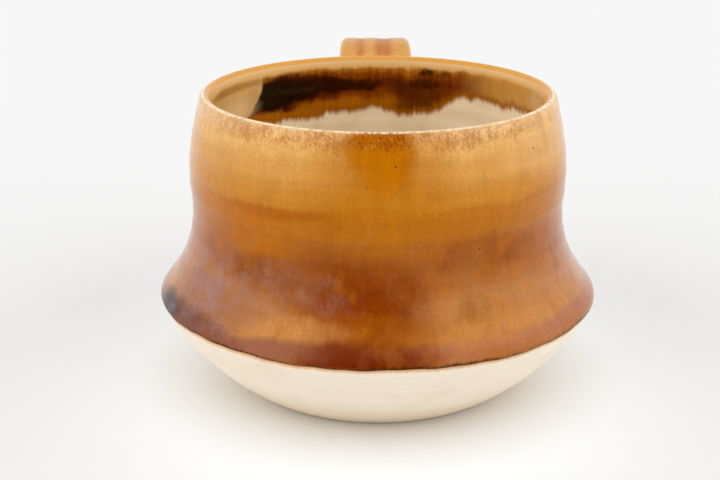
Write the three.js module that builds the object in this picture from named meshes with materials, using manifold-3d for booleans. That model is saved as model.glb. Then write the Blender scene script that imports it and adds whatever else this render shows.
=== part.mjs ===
// A wide, low-bellied stoneware mug, thrown on a wheel, with a pulled strap handle.
// Units are millimetres and +Z is up. The origin is on the mug's axis, on the table that it stands on, and
// the handle stands out towards +Y. Each clay piece and each coat of glaze is a closed solid of its own.

import * as THREE from "three";
import { mergeVertices } from "three/addons/utils/BufferGeometryUtils.js";
import Module from "manifold-3d";

const wasm = await Module();
wasm.setup();

// Outside of the clay body, station by station from the table to the lip.
const FOOT_RADIUS = 35.8; // edge of the flat base
const FOOT_SLOPE = 30; // degrees that the bowl rises from the table where it leaves the base
const BELLY_RADIUS = 59;
const BELLY_RISE = 25.5; // table to the belly's widest circle
const WAIST_RADIUS = 49.4;
const WAIST_RISE = 24.5; // belly to waist
const SHOULDER_RADIUS = 49.95;
const SHOULDER_RISE = 10; // waist to shoulder
const LIP_RADIUS = 45.8; // circle along the top of the lip
const LIP_RISE = 19.5; // shoulder to the top of the lip
const LIP_ROUND = 1; // radius of the lip's rounded edge
const LIP_LEAN = 14.5; // degrees that the wall leans inwards at the lip

// How far each station's tangent holds the curve of the wall.
const FOOT_REACH = 15;
const BELLY_REACH_BELOW = 3.3;
const BELLY_REACH_ABOVE = 1.6;
const WAIST_REACH_BELOW = 15.9;
const WAIST_REACH_ABOVE = 3;
const SHOULDER_REACH_BELOW = 6.5;
const SHOULDER_REACH_ABOVE = 5;
const LIP_REACH = 9;

// Inside of the clay body.
const FLOOR_THICKNESS = 6;
const FLOOR_COVE = 10; // edge of the base to the edge of the flat floor
const FLOOR_REACH = 16;
const BELLY_WALL = 5;
const HOLLOW_LIFT = 1.5; // the hollow is widest this far above the belly
const HOLLOW_REACH_BELOW = 8;
const HOLLOW_REACH_ABOVE = 5;
const WAIST_WALL = 4.2;
const SHOULDER_WALL = 4;
const INNER_LEAN = 3; // degrees that the inside wall leans inwards at the lip

// Coats of glaze.
const AMBER_COAT = 0.4; // outside, over the lip and round the handle
const LINER_COAT = 0.3;
const GLAZE_DROP = 0.6; // the outside glaze ends this far below the belly's widest circle
const RIM_BAND = 17; // mean length of the overlap that runs down inside from the lip
const RUN_LENGTH = 1.8; // wide runs add or take off this much
const RUN_COUNT = 4;
const DRIP_LENGTH = 1; // narrow drips add or take off this much
const DRIP_COUNT = 9;
const BOND = 0.05; // clearance between one solid and the next
const WELD = 0.0005; // corners closer than this are one

// Course of the strap's centre line, in the plane of the axis and +Y.
const ROOT_DEPTH = 6; // the strap's raw ends start this far under the wall's outer face
const UPPER_ROOT_DROP = 14.6; // top of the lip to the upper root
const UPPER_ROOT_SLOPE = 42; // degrees that the strap climbs as it leaves the wall
const UPPER_ROOT_REACH = 13;
const CREST_OUT = 20; // shoulder circle to the strap's crest
const CREST_DROP = 2.7; // top of the lip to the centre of the strap at its crest
const CREST_REACH = 8;
const GRIP_OUT = 34; // shoulder circle to the strap's outermost place
const GRIP_DROP = 17; // crest to the outermost place
const GRIP_REACH_ABOVE = 9;
const GRIP_REACH_BELOW = 15;
const LOWER_ROOT_LIFT = 9.5; // belly to the lower root
const LOWER_ROOT_SLOPE = 13; // degrees that the strap falls as it meets the wall
const LOWER_ROOT_REACH = 18;

// Section of the strap.
const STRAP_WIDTH_UPPER = 22;
const STRAP_WIDTH_LOWER = 17.5;
const STRAP_THICKNESS = 7;
const STRAP_SQUARENESS = 2.8; // 2 is an ellipse, more is squarer
const ROOT_FLARE = 3; // extra width at each end
const ROOT_SWELL = 2; // extra thickness at each end
const ROOT_FLARE_LENGTH = 14;
const SLIP_THICKNESS = 0.8; // pad of slip between each end and the wall
const PULLED_GROOVES = [
  { offset: -5, halfWidth: 2.2, depth: 0.5 },
  { offset: 2.5, halfWidth: 3.8, depth: 0.7 },
];

// Fineness of the curved surfaces.
const TURN_STEPS = 36;
const CURVE_STEPS = 4;
const LIP_STEPS = 3;
const BELLY_STEPS = 7;
const STRAP_RINGS = 20;
const SECTION_STEPS = 12;

const CLAY = { color: 0xe9dac3, roughness: 0.85, metalness: 0 };
const SLIP = { color: 0xdccab0, roughness: 0.9, metalness: 0 };
const AMBER_GLAZE = { color: 0xb6722a, roughness: 0.25, metalness: 0 };
const DARK_GLAZE = { color: 0x53300f, roughness: 0.2, metalness: 0 };
const CREAM_GLAZE = { color: 0xd6c6a6, roughness: 0.3, metalness: 0 };

const BELLY_HEIGHT = BELLY_RISE;
const WAIST_HEIGHT = BELLY_HEIGHT + WAIST_RISE;
const SHOULDER_HEIGHT = WAIST_HEIGHT + SHOULDER_RISE;
const LIP_HEIGHT = SHOULDER_HEIGHT + LIP_RISE;
const FLOOR_RADIUS = FOOT_RADIUS - FLOOR_COVE;
const OVER_LINER = BOND + LINER_COAT + BOND; // clay to the underside of the overlap

const UP = 90;
const DOWN = -90;
const INWARDS = 180;

// A place on an outline: its point, its heading in degrees, and its tangent's reach before and after it.
function station(across, height, heading, before, after) {
  const angle = THREE.MathUtils.degToRad(heading);
  const direction = new THREE.Vector2(Math.cos(angle), Math.sin(angle));
  const point = new THREE.Vector2(across, height);
  return {
    point,
    arriving: point.clone().addScaledVector(direction, -before),
    leaving: point.clone().addScaledVector(direction, after),
  };
}

// The smooth curve from one station to the next.
function curveBetween(from, to) {
  return new THREE.CubicBezierCurve(from.point, from.leaving, to.arriving, to.point);
}

// Points along the smooth outline through a row of stations.
function smoothOutline(stations, steps) {
  const points = [stations[0].point];
  for (let i = 1; i < stations.length; i++) {
    points.push(...curveBetween(stations[i - 1], stations[i]).getPoints(steps).slice(1));
  }
  return points;
}

// Points on an arc between two angles in degrees.
function arc(centre, radius, fromAngle, toAngle, steps) {
  const from = THREE.MathUtils.degToRad(fromAngle);
  const to = THREE.MathUtils.degToRad(toAngle);
  return new THREE.EllipseCurve(centre.x, centre.y, radius, radius, from, to, to < from).getPoints(steps);
}

// An outline with each point moved to its right by its own distance: outwards, where it runs up the outside.
function movedEach(points, distances) {
  return points.map((point, i) => {
    const before = points[Math.max(i - 1, 0)];
    const after = points[Math.min(i + 1, points.length - 1)];
    const along = after.clone().sub(before).normalize();
    return new THREE.Vector2(point.x + along.y * distances[i], point.y - along.x * distances[i]);
  });
}

// An outline moved to its right by one distance.
function moved(points, distance) {
  return movedEach(points, points.map(() => distance));
}

// The place where an outline that runs upwards passes a height, as its radius.
function radiusAt(points, height) {
  const i = points.findIndex((point, k) => k > 0 && point.y >= height);
  const below = points[i - 1];
  const above = points[i];
  return THREE.MathUtils.mapLinear(height, below.y, above.y, below.x, above.x);
}

// How far along an outline each of its points lies.
function lengthsAlong(points) {
  const lengths = [0];
  for (let i = 1; i < points.length; i++) {
    lengths.push(lengths[i - 1] + points[i - 1].distanceTo(points[i]));
  }
  return lengths;
}

// The point a given length along an outline.
function pointAlong(points, length) {
  const lengths = lengthsAlong(points);
  const i = lengths.findIndex((reached) => reached >= length);
  const share = (length - lengths[i - 1]) / (lengths[i] - lengths[i - 1]);
  return points[i - 1].clone().lerp(points[i], share);
}

// Position-only geometry with shared vertices and no collapsed triangles.
function welded(geometry) {
  geometry.deleteAttribute("normal");
  geometry.deleteAttribute("uv");
  const merged = mergeVertices(geometry, WELD);
  const index = merged.index.array;
  const kept = [];
  for (let i = 0; i < index.length; i += 3) {
    const [a, b, c] = index.slice(i, i + 3);
    if (a !== b && b !== c && c !== a) kept.push(a, b, c);
  }
  merged.setIndex(kept);
  return merged;
}

// A solid turned about the axis. loopAt gives its profile at an angle, as points of radius and height.
function turned(loopAt) {
  const geometry = new THREE.LatheGeometry(loopAt(0), TURN_STEPS);
  const position = geometry.getAttribute("position");
  const pointsPerStep = position.count / (TURN_STEPS + 1);
  for (let step = 0; step <= TURN_STEPS; step++) {
    const angle = (step / TURN_STEPS) * 2 * Math.PI;
    loopAt(angle).forEach((point, i) => {
      const place = step * pointsPerStep + i;
      position.setXYZ(place, point.x * Math.sin(angle), point.y, point.x * Math.cos(angle));
    });
  }
  return welded(geometry.rotateX(Math.PI / 2));
}

function solidFrom(geometry) {
  const vertProperties = new Float32Array(geometry.getAttribute("position").array);
  const triVerts = new Uint32Array(geometry.index.array);
  return new wasm.Manifold(new wasm.Mesh({ numProp: 3, vertProperties, triVerts }));
}

function geometryFrom(solid) {
  const { vertProperties, triVerts } = solid.getMesh();
  const geometry = new THREE.BufferGeometry();
  geometry.setAttribute("position", new THREE.BufferAttribute(vertProperties, 3));
  geometry.setIndex(new THREE.BufferAttribute(triVerts, 1));
  return geometry;
}

function piece(name, geometry, finish) {
  geometry.computeVertexNormals();
  const mesh = new THREE.Mesh(geometry, new THREE.MeshStandardMaterial(finish));
  mesh.name = name;
  return mesh;
}

// The outside of the clay: the bowl below the glaze line, then the wall above it up to the lip.
const foot = station(FOOT_RADIUS, 0, FOOT_SLOPE, 0, FOOT_REACH);
const belly = station(BELLY_RADIUS, BELLY_HEIGHT, UP, BELLY_REACH_BELOW, BELLY_REACH_ABOVE);
const waist = station(WAIST_RADIUS, WAIST_HEIGHT, UP, WAIST_REACH_BELOW, WAIST_REACH_ABOVE);
const shoulder = station(SHOULDER_RADIUS, SHOULDER_HEIGHT, UP, SHOULDER_REACH_BELOW, SHOULDER_REACH_ABOVE);
const lipCentre = new THREE.Vector2(LIP_RADIUS, LIP_HEIGHT - LIP_ROUND);
const outerLip = arc(lipCentre, LIP_ROUND, LIP_LEAN, UP, LIP_STEPS);
const lipStart = station(outerLip[0].x, outerLip[0].y, UP + LIP_LEAN, LIP_REACH, 0);

const bowl = smoothOutline([foot, belly], BELLY_STEPS);
const glazeLineHeight = BELLY_HEIGHT - GLAZE_DROP;
const glazeLine = new THREE.Vector2(radiusAt(bowl, glazeLineHeight), glazeLineHeight);
const bareBowl = bowl.filter((point) => point.y < glazeLineHeight);
const glazedWall = [
  glazeLine,
  ...bowl.filter((point) => point.y > glazeLineHeight),
  ...smoothOutline([belly, waist], BELLY_STEPS).slice(1),
  ...smoothOutline([waist, shoulder, lipStart], CURVE_STEPS).slice(1, -1),
  ...outerLip,
];
const outside = [...bareBowl, ...glazedWall];

// The inside of the clay, from the lip's crest down to the middle of the floor.
const crestGap = THREE.MathUtils.radToDeg(BOND / LIP_ROUND);
const innerLip = arc(lipCentre, LIP_ROUND, UP + crestGap, INWARDS + INNER_LEAN, LIP_STEPS);
const lipEnd = station(innerLip[LIP_STEPS].x, innerLip[LIP_STEPS].y, DOWN + INNER_LEAN, 0, LIP_REACH);
const innerShoulder = station(
  SHOULDER_RADIUS - SHOULDER_WALL, SHOULDER_HEIGHT, DOWN, SHOULDER_REACH_ABOVE, SHOULDER_REACH_BELOW);
const innerWaist = station(
  WAIST_RADIUS - WAIST_WALL, WAIST_HEIGHT, DOWN, WAIST_REACH_ABOVE, WAIST_REACH_BELOW);
const hollow = station(
  BELLY_RADIUS - BELLY_WALL, BELLY_HEIGHT + HOLLOW_LIFT, DOWN, HOLLOW_REACH_ABOVE, HOLLOW_REACH_BELOW);
const floorEdge = station(FLOOR_RADIUS, FLOOR_THICKNESS, INWARDS, FLOOR_REACH, 0);
const innerWall = [
  ...smoothOutline([lipEnd, innerShoulder, innerWaist, hollow, floorEdge], CURVE_STEPS),
  new THREE.Vector2(0, FLOOR_THICKNESS),
];
const inside = [...innerLip, ...innerWall.slice(1)];

function thrownBody() {
  const base = new THREE.Vector2(0, 0);
  return turned(() => [base, ...outside, ...inside]);
}

// The clay's outer form grown by a distance and filled to the axis, to trim what stands against the wall.
function wallForm(distance) {
  const profile = moved(outside, distance);
  const top = new THREE.Vector2(0, profile[profile.length - 1].y);
  const bottom = new THREE.Vector2(0, profile[0].y);
  return solidFrom(turned(() => [bottom, ...profile, top]));
}

// A closed coat between two distances from an outline.
function coatLoop(points, near, far) {
  const loop = [...moved(points, far), ...moved(points, near).reverse()];
  return [...loop, loop[0]];
}

function linerGlaze() {
  const near = moved(innerWall, BOND).reverse();
  const far = moved(innerWall, BOND + LINER_COAT);
  return turned(() => [...near, ...far]);
}

// The overlap inside the lip: it lies on the clay at the crest and on the liner below, and ends in runs.
function rimGlaze() {
  const shortestRun = RIM_BAND - RUN_LENGTH - DRIP_LENGTH;
  const lengths = lengthsAlong(inside);
  const upper = inside.filter((_, i) => lengths[i] < shortestRun - DRIP_LENGTH);
  return turned((angle) => {
    const run = RUN_LENGTH * Math.sin(RUN_COUNT * angle) + DRIP_LENGTH * Math.sin(DRIP_COUNT * angle);
    const points = [...upper, pointAlong(inside, RIM_BAND + run)];
    const lift = points.map((_, i) => (i < LIP_STEPS ? BOND : OVER_LINER));
    const near = movedEach(points, lift).reverse();
    const far = movedEach(points, lift.map((distance) => distance + AMBER_COAT));
    return [...far, ...near, far[0]];
  });
}

// The strap's centre line, as points of distance from the axis along +Y and height.
const upperRootHeight = LIP_HEIGHT - UPPER_ROOT_DROP;
const lowerRootHeight = BELLY_HEIGHT + LOWER_ROOT_LIFT;
const crestHeight = LIP_HEIGHT - CREST_DROP;
const upperRoot = station(
  radiusAt(outside, upperRootHeight) - ROOT_DEPTH, upperRootHeight, UPPER_ROOT_SLOPE, 0, UPPER_ROOT_REACH);
const crest = station(SHOULDER_RADIUS + CREST_OUT, crestHeight, 0, CREST_REACH, CREST_REACH);
const grip = station(
  SHOULDER_RADIUS + GRIP_OUT, crestHeight - GRIP_DROP, DOWN, GRIP_REACH_ABOVE, GRIP_REACH_BELOW);
const lowerRoot = station(
  radiusAt(outside, lowerRootHeight) - ROOT_DEPTH, lowerRootHeight, INWARDS + LOWER_ROOT_SLOPE,
  LOWER_ROOT_REACH, 0);
const strapCourse = new THREE.CurvePath();
strapCourse.add(curveBetween(upperRoot, crest));
strapCourse.add(curveBetween(crest, grip));
strapCourse.add(curveBetween(grip, lowerRoot));

// How much of the root's flare is left at a distance from the strap's nearer end.
function flareAt(distance) {
  return Math.max(1 - distance / ROOT_FLARE_LENGTH, 0) ** 2;
}

function grooveDepth(across) {
  return PULLED_GROOVES.reduce((sum, { offset, halfWidth, depth }) => {
    const share = Math.min(Math.abs(across - offset) / halfWidth, 1);
    return sum + depth * Math.cos((share * Math.PI) / 2) ** 2;
  }, 0);
}

// Section of the strap as a closed row of points: x across it, y out of its outer face.
function strapSection(width, thickness) {
  const points = [];
  for (let i = 0; i < 2 * SECTION_STEPS; i++) {
    const share = Math.cos((i / SECTION_STEPS) * Math.PI);
    const across = (share * width) / 2;
    const roundness = (1 - Math.abs(share) ** STRAP_SQUARENESS) ** (1 / STRAP_SQUARENESS);
    const outer = (thickness / 2 - grooveDepth(across)) * roundness;
    const inner = (-thickness / 2) * roundness;
    points.push(new THREE.Vector2(across, i < SECTION_STEPS ? outer : inner));
  }
  return points;
}

// The strap as a solid, grown all round by a distance. Its raw ends stay under the wall's face.
function strapForm(grow) {
  const length = strapCourse.getLength();
  const vertices = [];
  const triangles = [];
  const ringSize = 2 * SECTION_STEPS;
  for (let ring = 0; ring <= STRAP_RINGS; ring++) {
    const share = ring / STRAP_RINGS;
    const centre = strapCourse.getPointAt(share);
    const along = strapCourse.getTangentAt(share);
    const flare = flareAt(Math.min(share, 1 - share) * length);
    const width = THREE.MathUtils.lerp(STRAP_WIDTH_UPPER, STRAP_WIDTH_LOWER, share) + ROOT_FLARE * flare;
    const thickness = STRAP_THICKNESS + ROOT_SWELL * flare;
    for (const point of strapSection(width + 2 * grow, thickness + 2 * grow)) {
      vertices.push(point.x, centre.x - along.y * point.y, centre.y + along.x * point.y);
    }
  }
  for (let ring = 0; ring < STRAP_RINGS; ring++) {
    for (let i = 0; i < ringSize; i++) {
      const a = ring * ringSize + i;
      const b = ring * ringSize + ((i + 1) % ringSize);
      triangles.push(a, a + ringSize, b, b, a + ringSize, b + ringSize);
    }
  }
  const lastRing = STRAP_RINGS * ringSize;
  for (let i = 1; i + 1 < ringSize; i++) {
    triangles.push(0, i, i + 1);
    triangles.push(lastRing, lastRing + i + 1, lastRing + i);
  }
  const geometry = new THREE.BufferGeometry();
  geometry.setAttribute("position", new THREE.Float32BufferAttribute(vertices, 3));
  geometry.setIndex(triangles);
  return solidFrom(geometry);
}

const strap = strapForm(0);
const glazedStrap = strapForm(BOND + AMBER_COAT);
const barePlace = wallForm(BOND);
const slipFace = BOND + SLIP_THICKNESS;

function handleStrap() {
  return geometryFrom(strap.subtract(wallForm(slipFace + BOND)));
}

// Both pads of slip, the lower one first.
function slipJoints() {
  const pads = strap.intersect(wallForm(slipFace)).subtract(barePlace).decompose();
  const height = (pad) => pad.boundingBox().max[2];
  return pads.sort((a, b) => height(a) - height(b)).map(geometryFrom);
}

function handleGlaze() {
  return geometryFrom(glazedStrap.subtract(strapForm(BOND)).subtract(barePlace));
}

function outerGlaze() {
  const coat = solidFrom(turned(() => coatLoop(glazedWall, BOND, BOND + AMBER_COAT)));
  return geometryFrom(coat.subtract(strapForm(BOND + AMBER_COAT + BOND)));
}

const [lowerSlip, upperSlip] = slipJoints();

const mug = new THREE.Group();
mug.name = "wide_mug";
mug.add(
  piece("thrown_body", thrownBody(), CLAY),
  piece("handle_strap", handleStrap(), CLAY),
  piece("upper_slip_joint", upperSlip, SLIP),
  piece("lower_slip_joint", lowerSlip, SLIP),
  piece("outer_glaze", outerGlaze(), AMBER_GLAZE),
  piece("rim_glaze", rimGlaze(), DARK_GLAZE),
  piece("liner_glaze", linerGlaze(), CREAM_GLAZE),
  piece("handle_glaze", handleGlaze(), AMBER_GLAZE),
);

export default mug;
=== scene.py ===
"""Looks of a wide stoneware mug: bare clay, amber glaze, a pale liner and a pulled strap handle.

The frame is in metres, with +Z up the mug's axis and the handle towards +Y. Sizes of the mug are named here
in millimetres, as a potter would measure them, and azimuth is in degrees round the axis: 0 at the front,
facing -Y, and 90 at +X.
"""

import bisect
import logging
import math
from dataclasses import dataclass, field
from enum import Enum
from typing import Optional, Sequence, Union

import bmesh
import bpy
from mathutils import Color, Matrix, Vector
from mathutils.geometry import interpolate_bezier


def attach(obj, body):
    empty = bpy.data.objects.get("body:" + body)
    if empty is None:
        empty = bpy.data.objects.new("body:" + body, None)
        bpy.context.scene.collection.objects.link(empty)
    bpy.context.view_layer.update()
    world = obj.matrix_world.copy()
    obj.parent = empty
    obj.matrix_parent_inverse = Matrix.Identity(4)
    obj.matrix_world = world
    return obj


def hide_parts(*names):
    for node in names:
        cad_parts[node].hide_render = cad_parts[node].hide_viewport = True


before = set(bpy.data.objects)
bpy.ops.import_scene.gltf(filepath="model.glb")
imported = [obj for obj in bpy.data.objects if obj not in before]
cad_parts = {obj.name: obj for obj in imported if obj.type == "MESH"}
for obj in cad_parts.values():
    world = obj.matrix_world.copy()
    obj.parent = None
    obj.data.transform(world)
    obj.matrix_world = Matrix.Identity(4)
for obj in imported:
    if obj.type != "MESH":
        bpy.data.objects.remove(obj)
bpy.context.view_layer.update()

log = logging.getLogger("wide_mug")

MM = 0.001
BODY = "root"
TURN_STEPS = 192
CURVE_STEPS = 40
SAME_POINT_MM = 1e-6
SAME_VERTEX_M = 1e-7

# Angles and headings, in degrees.
FULL_TURN = 360.0
HALF_TURN = 180.0
UP = 90.0
DOWN = -90.0
INWARDS = 180.0

# The mix node has sockets for each kind of data. These are the ones for colours.
MIX_UNDER = 6
MIX_OVER = 7
MIX_RESULT = 2

Colour = Union[bpy.types.NodeSocket, tuple[float, float, float, float]]
Number = Union["Signal", float]
Inputs = dict[Union[int, str], object]
Bands = tuple[tuple[float, str], ...]


def paint(code: str) -> tuple[float, float, float, float]:
    """Turns a screen colour of six hexadecimal digits into the linear colour that a shader takes."""
    channels = [int(code[i:i + 2], 16) / 255 for i in (0, 2, 4)]
    return (*Color(channels).from_srgb_to_scene_linear(), 1.0)


def ease(value: float, low: float, high: float) -> float:
    """Rises smoothly from 0 at low to 1 at high, or falls where low is the greater."""
    share = min(max((value - low) / (high - low), 0.0), 1.0)
    return share * share * (3 - 2 * share)


def angle_off(azimuth: float, middle: float) -> float:
    """Gives how many degrees an azimuth lies off another, either way round."""
    return abs((azimuth - middle + HALF_TURN) % FULL_TURN - HALF_TURN)


def spread(start: float, *stretches: tuple[float, float]) -> list[float]:
    """Lists values in stretches, without the end of the last one.

    Args:
        start: The first value.
        stretches: The end of each stretch, up or down, and the spacing up to there.

    Returns:
        The values, evenly spaced in each stretch.
    """
    values: list[float] = []
    for end, spacing in stretches:
        count = max(round(abs(end - start) / spacing), 1)
        values += [start + (end - start) * i / count for i in range(count)]
        start = end
    return values


class Blend(Enum):
    """Ways to lay one colour over another."""

    COVER = "MIX"
    DARKEN = "MULTIPLY"


class Signal:
    """A number that a material works out at each place on a surface, with the usual arithmetic."""

    def __init__(self, bench: "NodeBench", socket: bpy.types.NodeSocket) -> None:
        """Wraps the output socket that gives the number."""
        self.bench = bench
        self.socket = socket

    def math(self, operation: str, *others: Number) -> "Signal":
        """Applies one of Blender's math operations to the number and the operation's other inputs."""
        node = self.bench.add("ShaderNodeMath", dict(enumerate((self, *others))), operation=operation)
        return Signal(self.bench, node.outputs[0])

    def __add__(self, other: Number) -> "Signal":
        """Adds."""
        return self.math("ADD", other)

    def __sub__(self, other: Number) -> "Signal":
        """Subtracts."""
        return self.math("SUBTRACT", other)

    def __mul__(self, other: Number) -> "Signal":
        """Multiplies."""
        return self.math("MULTIPLY", other)

    def __truediv__(self, other: Number) -> "Signal":
        """Divides."""
        return self.math("DIVIDE", other)

    def __abs__(self) -> "Signal":
        """Drops the sign."""
        return self.math("ABSOLUTE")

    def centred(self) -> "Signal":
        """Moves noise from 0 to 1 so that it swings about 0."""
        return self - 0.5

    def flipped(self) -> "Signal":
        """Gives 1 less the number."""
        return self * -1.0 + 1.0

    def wrapped(self, low: float, high: float) -> "Signal":
        """Folds the number into a range that repeats."""
        return self.math("WRAP", high, low)


class NodeBench:
    """Makes and links the nodes of one material or of the world."""

    def __init__(self, owner: Union[bpy.types.Material, bpy.types.World]) -> None:
        """Starts with an empty node tree.

        Args:
            owner: The material or the world that gets the nodes.
        """
        self.owner = owner
        owner.use_nodes = True
        self.tree = owner.node_tree
        self.tree.nodes.clear()

    def add(self, kind: str, inputs: Optional[Inputs] = None, **settings: object) -> bpy.types.Node:
        """Adds a node.

        Args:
            kind: The node's type.
            inputs: What goes into its sockets, by name or number: signals, other sockets or plain values.
            settings: Properties of the node to set.

        Returns:
            The new node.
        """
        node = self.tree.nodes.new(kind)
        for name, value in settings.items():
            setattr(node, name, value)
        for key, value in (inputs or {}).items():
            if isinstance(value, Signal):
                value = value.socket
            if isinstance(value, bpy.types.NodeSocket):
                self.tree.links.new(value, node.inputs[key])
            else:
                node.inputs[key].default_value = value
        return node

    def attribute(self, name: str) -> Signal:
        """Reads a number that the mesh carries at each vertex."""
        return Signal(self, self.add("ShaderNodeAttribute", attribute_name=name).outputs["Fac"])

    def stretched(self, vector: bpy.types.NodeSocket, scale: Sequence[float]) -> bpy.types.NodeSocket:
        """Scales a vector along its three axes."""
        return self.add("ShaderNodeVectorMath", {0: vector, 1: scale}, operation="MULTIPLY").outputs["Vector"]

    def noise(self, vector: bpy.types.NodeSocket, scale: float, detail: float, roughness: float) -> Signal:
        """Makes soft noise from 0 to 1, with a scale in waves for each unit of the vector."""
        inputs = {"Vector": vector, "Scale": scale, "Detail": detail, "Roughness": roughness}
        return Signal(self, self.add("ShaderNodeTexNoise", inputs).outputs["Fac"])

    def ramp(self, value: Signal, stops: Bands) -> Colour:
        """Gives a colour for each value.

        Args:
            value: The number that picks the colour.
            stops: Values with their colours, in rising order.

        Returns:
            The colour.
        """
        low = stops[0][0]
        length = stops[-1][0] - low
        node = self.add("ShaderNodeValToRGB", {0: (value - low) / length})
        node.color_ramp.interpolation = "EASE"
        elements = node.color_ramp.elements
        for i, (place, code) in enumerate(stops):
            share = (place - low) / length
            element = elements[i] if i < len(elements) else elements.new(share)
            element.position = share
            element.color = paint(code)
        return node.outputs["Color"]

    def lay(self, under: Colour, over: Colour, share: Number, blend: Blend = Blend.COVER) -> Colour:
        """Lays one colour over another, by a share from 0 to 1."""
        inputs = {"Factor": share, MIX_UNDER: under, MIX_OVER: over}
        return self.add("ShaderNodeMix", inputs, data_type="RGBA", blend_type=blend.value).outputs[MIX_RESULT]

    def shaded(self, colour: Colour, amount: Signal) -> Colour:
        """Multiplies a colour by a number."""
        grey = self.add("ShaderNodeCombineColor", {0: amount, 1: amount, 2: amount})
        return self.lay(colour, grey.outputs[0], 1.0, Blend.DARKEN)

    def relief(self, height: Signal, depth: float) -> bpy.types.NodeSocket:
        """Turns a height into the normal of a fine relief, with a depth in millimetres for a height of 1."""
        inputs = {"Strength": 1.0, "Distance": depth * MM, "Height": height}
        return self.add("ShaderNodeBump", inputs).outputs["Normal"]


class MugSpace:
    """Where a place is on the mug: its height, its radius, its azimuth and its direction from the axis."""

    def __init__(self, bench: NodeBench) -> None:
        """Works the places out from the piece's own coordinates, in millimetres and degrees.

        Args:
            bench: The material's nodes.
        """
        self.bench = bench
        coordinates = bench.add("ShaderNodeTexCoord").outputs["Object"]
        self.place = bench.stretched(coordinates, (1 / MM, 1 / MM, 1 / MM))
        parts = bench.add("ShaderNodeSeparateXYZ", {0: self.place})
        right, back, self.height = (Signal(bench, socket) for socket in parts.outputs)
        self.radius = (right * right + back * back).math("SQRT")
        self.azimuth = right.math("ARCTAN2", back * -1.0).math("DEGREES")
        direction = {0: right / self.radius, 1: back / self.radius, 2: self.height}
        self.meridian = bench.add("ShaderNodeCombineXYZ", direction).outputs[0]


@dataclass(frozen=True)
class Rise:
    """A number that goes smoothly from low to high while another one goes from start to end."""

    start: float
    end: float
    high: float = 1.0
    low: float = 0.0

    def of(self, value: Signal) -> Signal:
        """Finds the number that belongs to a value.

        Args:
            value: The other number.

        Returns:
            The number.
        """
        reach = {"From Min": self.start, "From Max": self.end, "To Min": self.low, "To Max": self.high}
        inputs = {"Value": value, **reach}
        node = value.bench.add("ShaderNodeMapRange", inputs, interpolation_type="SMOOTHSTEP")
        return Signal(value.bench, node.outputs["Result"])


@dataclass(frozen=True)
class Clouds:
    """Noise from 0 to 1 in soft clouds of a size in millimetres, with a squeeze along each axis."""

    size: float
    detail: float = 2.0
    roughness: float = 0.5
    squeeze: tuple[float, float, float] = (1.0, 1.0, 1.0)

    def on(self, mug: MugSpace) -> Signal:
        """Gives the noise at a place on the mug."""
        places = mug.bench.stretched(mug.place, self.squeeze)
        return mug.bench.noise(places, 1 / self.size, self.detail, self.roughness)


@dataclass(frozen=True)
class Streaks:
    """Noise from 0 to 1 with so many waves in each radian round the mug and in each millimetre down it."""

    around: float
    down: float
    detail: float = 2.0
    roughness: float = 0.5

    def on(self, mug: MugSpace) -> Signal:
        """Gives the noise at a place on the mug."""
        places = mug.bench.stretched(mug.meridian, (self.around, self.around, self.down))
        return mug.bench.noise(places, 1.0, self.detail, self.roughness)


Noise = Union[Clouds, Streaks]


@dataclass(frozen=True)
class Swing:
    """A number that swings with a noise about a middle, over a range of the amount."""

    noise: Noise
    amount: float
    middle: float = 0.0

    def on(self, mug: MugSpace) -> Signal:
        """Gives the number at a place on the mug."""
        return self.noise.on(mug).centred() * self.amount + self.middle


@dataclass(frozen=True)
class Cover:
    """How much of a layer shows, broken up by a noise."""

    noise: Noise
    shown: Rise

    def on(self, mug: MugSpace) -> Signal:
        """Gives the share that shows at a place on the mug."""
        return self.shown.of(self.noise.on(mug))


@dataclass(frozen=True)
class Stain(Cover):
    """A colour broken up by a noise."""

    colour: str

    def over(self, mug: MugSpace, under: Colour, share: Number = 1.0) -> Colour:
        """Lays a share of the stain over a colour."""
        return mug.bench.lay(under, paint(self.colour), self.on(mug) * share)


@dataclass(frozen=True)
class Specks:
    """Small round dots of a colour, where a share of the cells of a width in millimetres holds one each."""

    colour: str
    spacing: float
    radius: float
    filled: float
    strength: float

    def mask(self, mug: MugSpace) -> Signal:
        """Finds how strongly the dots show at a place on the mug.

        Args:
            mug: Places on the mug.

        Returns:
            The dots' strength on a dot, and 0 off it.
        """
        bench = mug.bench
        cells = bench.add("ShaderNodeTexVoronoi", {"Vector": mug.place, "Scale": 1 / self.spacing})
        parts = bench.add("ShaderNodeSeparateColor", {0: cells.outputs["Color"]})
        chosen = Signal(bench, parts.outputs[0]).math("LESS_THAN", self.filled)
        size = self.radius / self.spacing
        dot = Rise(size, size / 2, self.strength)
        return dot.of(Signal(bench, cells.outputs["Distance"])) * chosen

    def over(self, mug: MugSpace, under: Colour) -> Colour:
        """Scatters the dots over a colour."""
        return mug.bench.lay(under, paint(self.colour), self.mask(mug))


@dataclass(frozen=True)
class Patch:
    """A place in a glaze with a colour of its own, soft at its edge, firmer where crisp is nearer to 1."""

    azimuth: float
    height: float
    half_angle: float
    half_height: float
    colour: str
    strength: float = 1.0
    crisp: float = 0.0

    def mask(self, azimuth: Signal, height: Signal) -> Signal:
        """Finds how much of the patch shows at a place.

        Args:
            azimuth: The place's azimuth, in degrees.
            height: The place's height, in millimetres.

        Returns:
            The patch's strength at its middle, falling to 0 at its edge.
        """
        turn = (azimuth - self.azimuth).wrapped(-HALF_TURN, HALF_TURN) / self.half_angle
        rise = (height - self.height) / self.half_height
        return Rise(1.0, self.crisp, self.strength).of(turn * turn + rise * rise)

    def over(self, under: Colour, azimuth: Signal, height: Signal) -> Colour:
        """Lays the patch over a colour."""
        return height.bench.lay(under, paint(self.colour), self.mask(azimuth, height))


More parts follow.
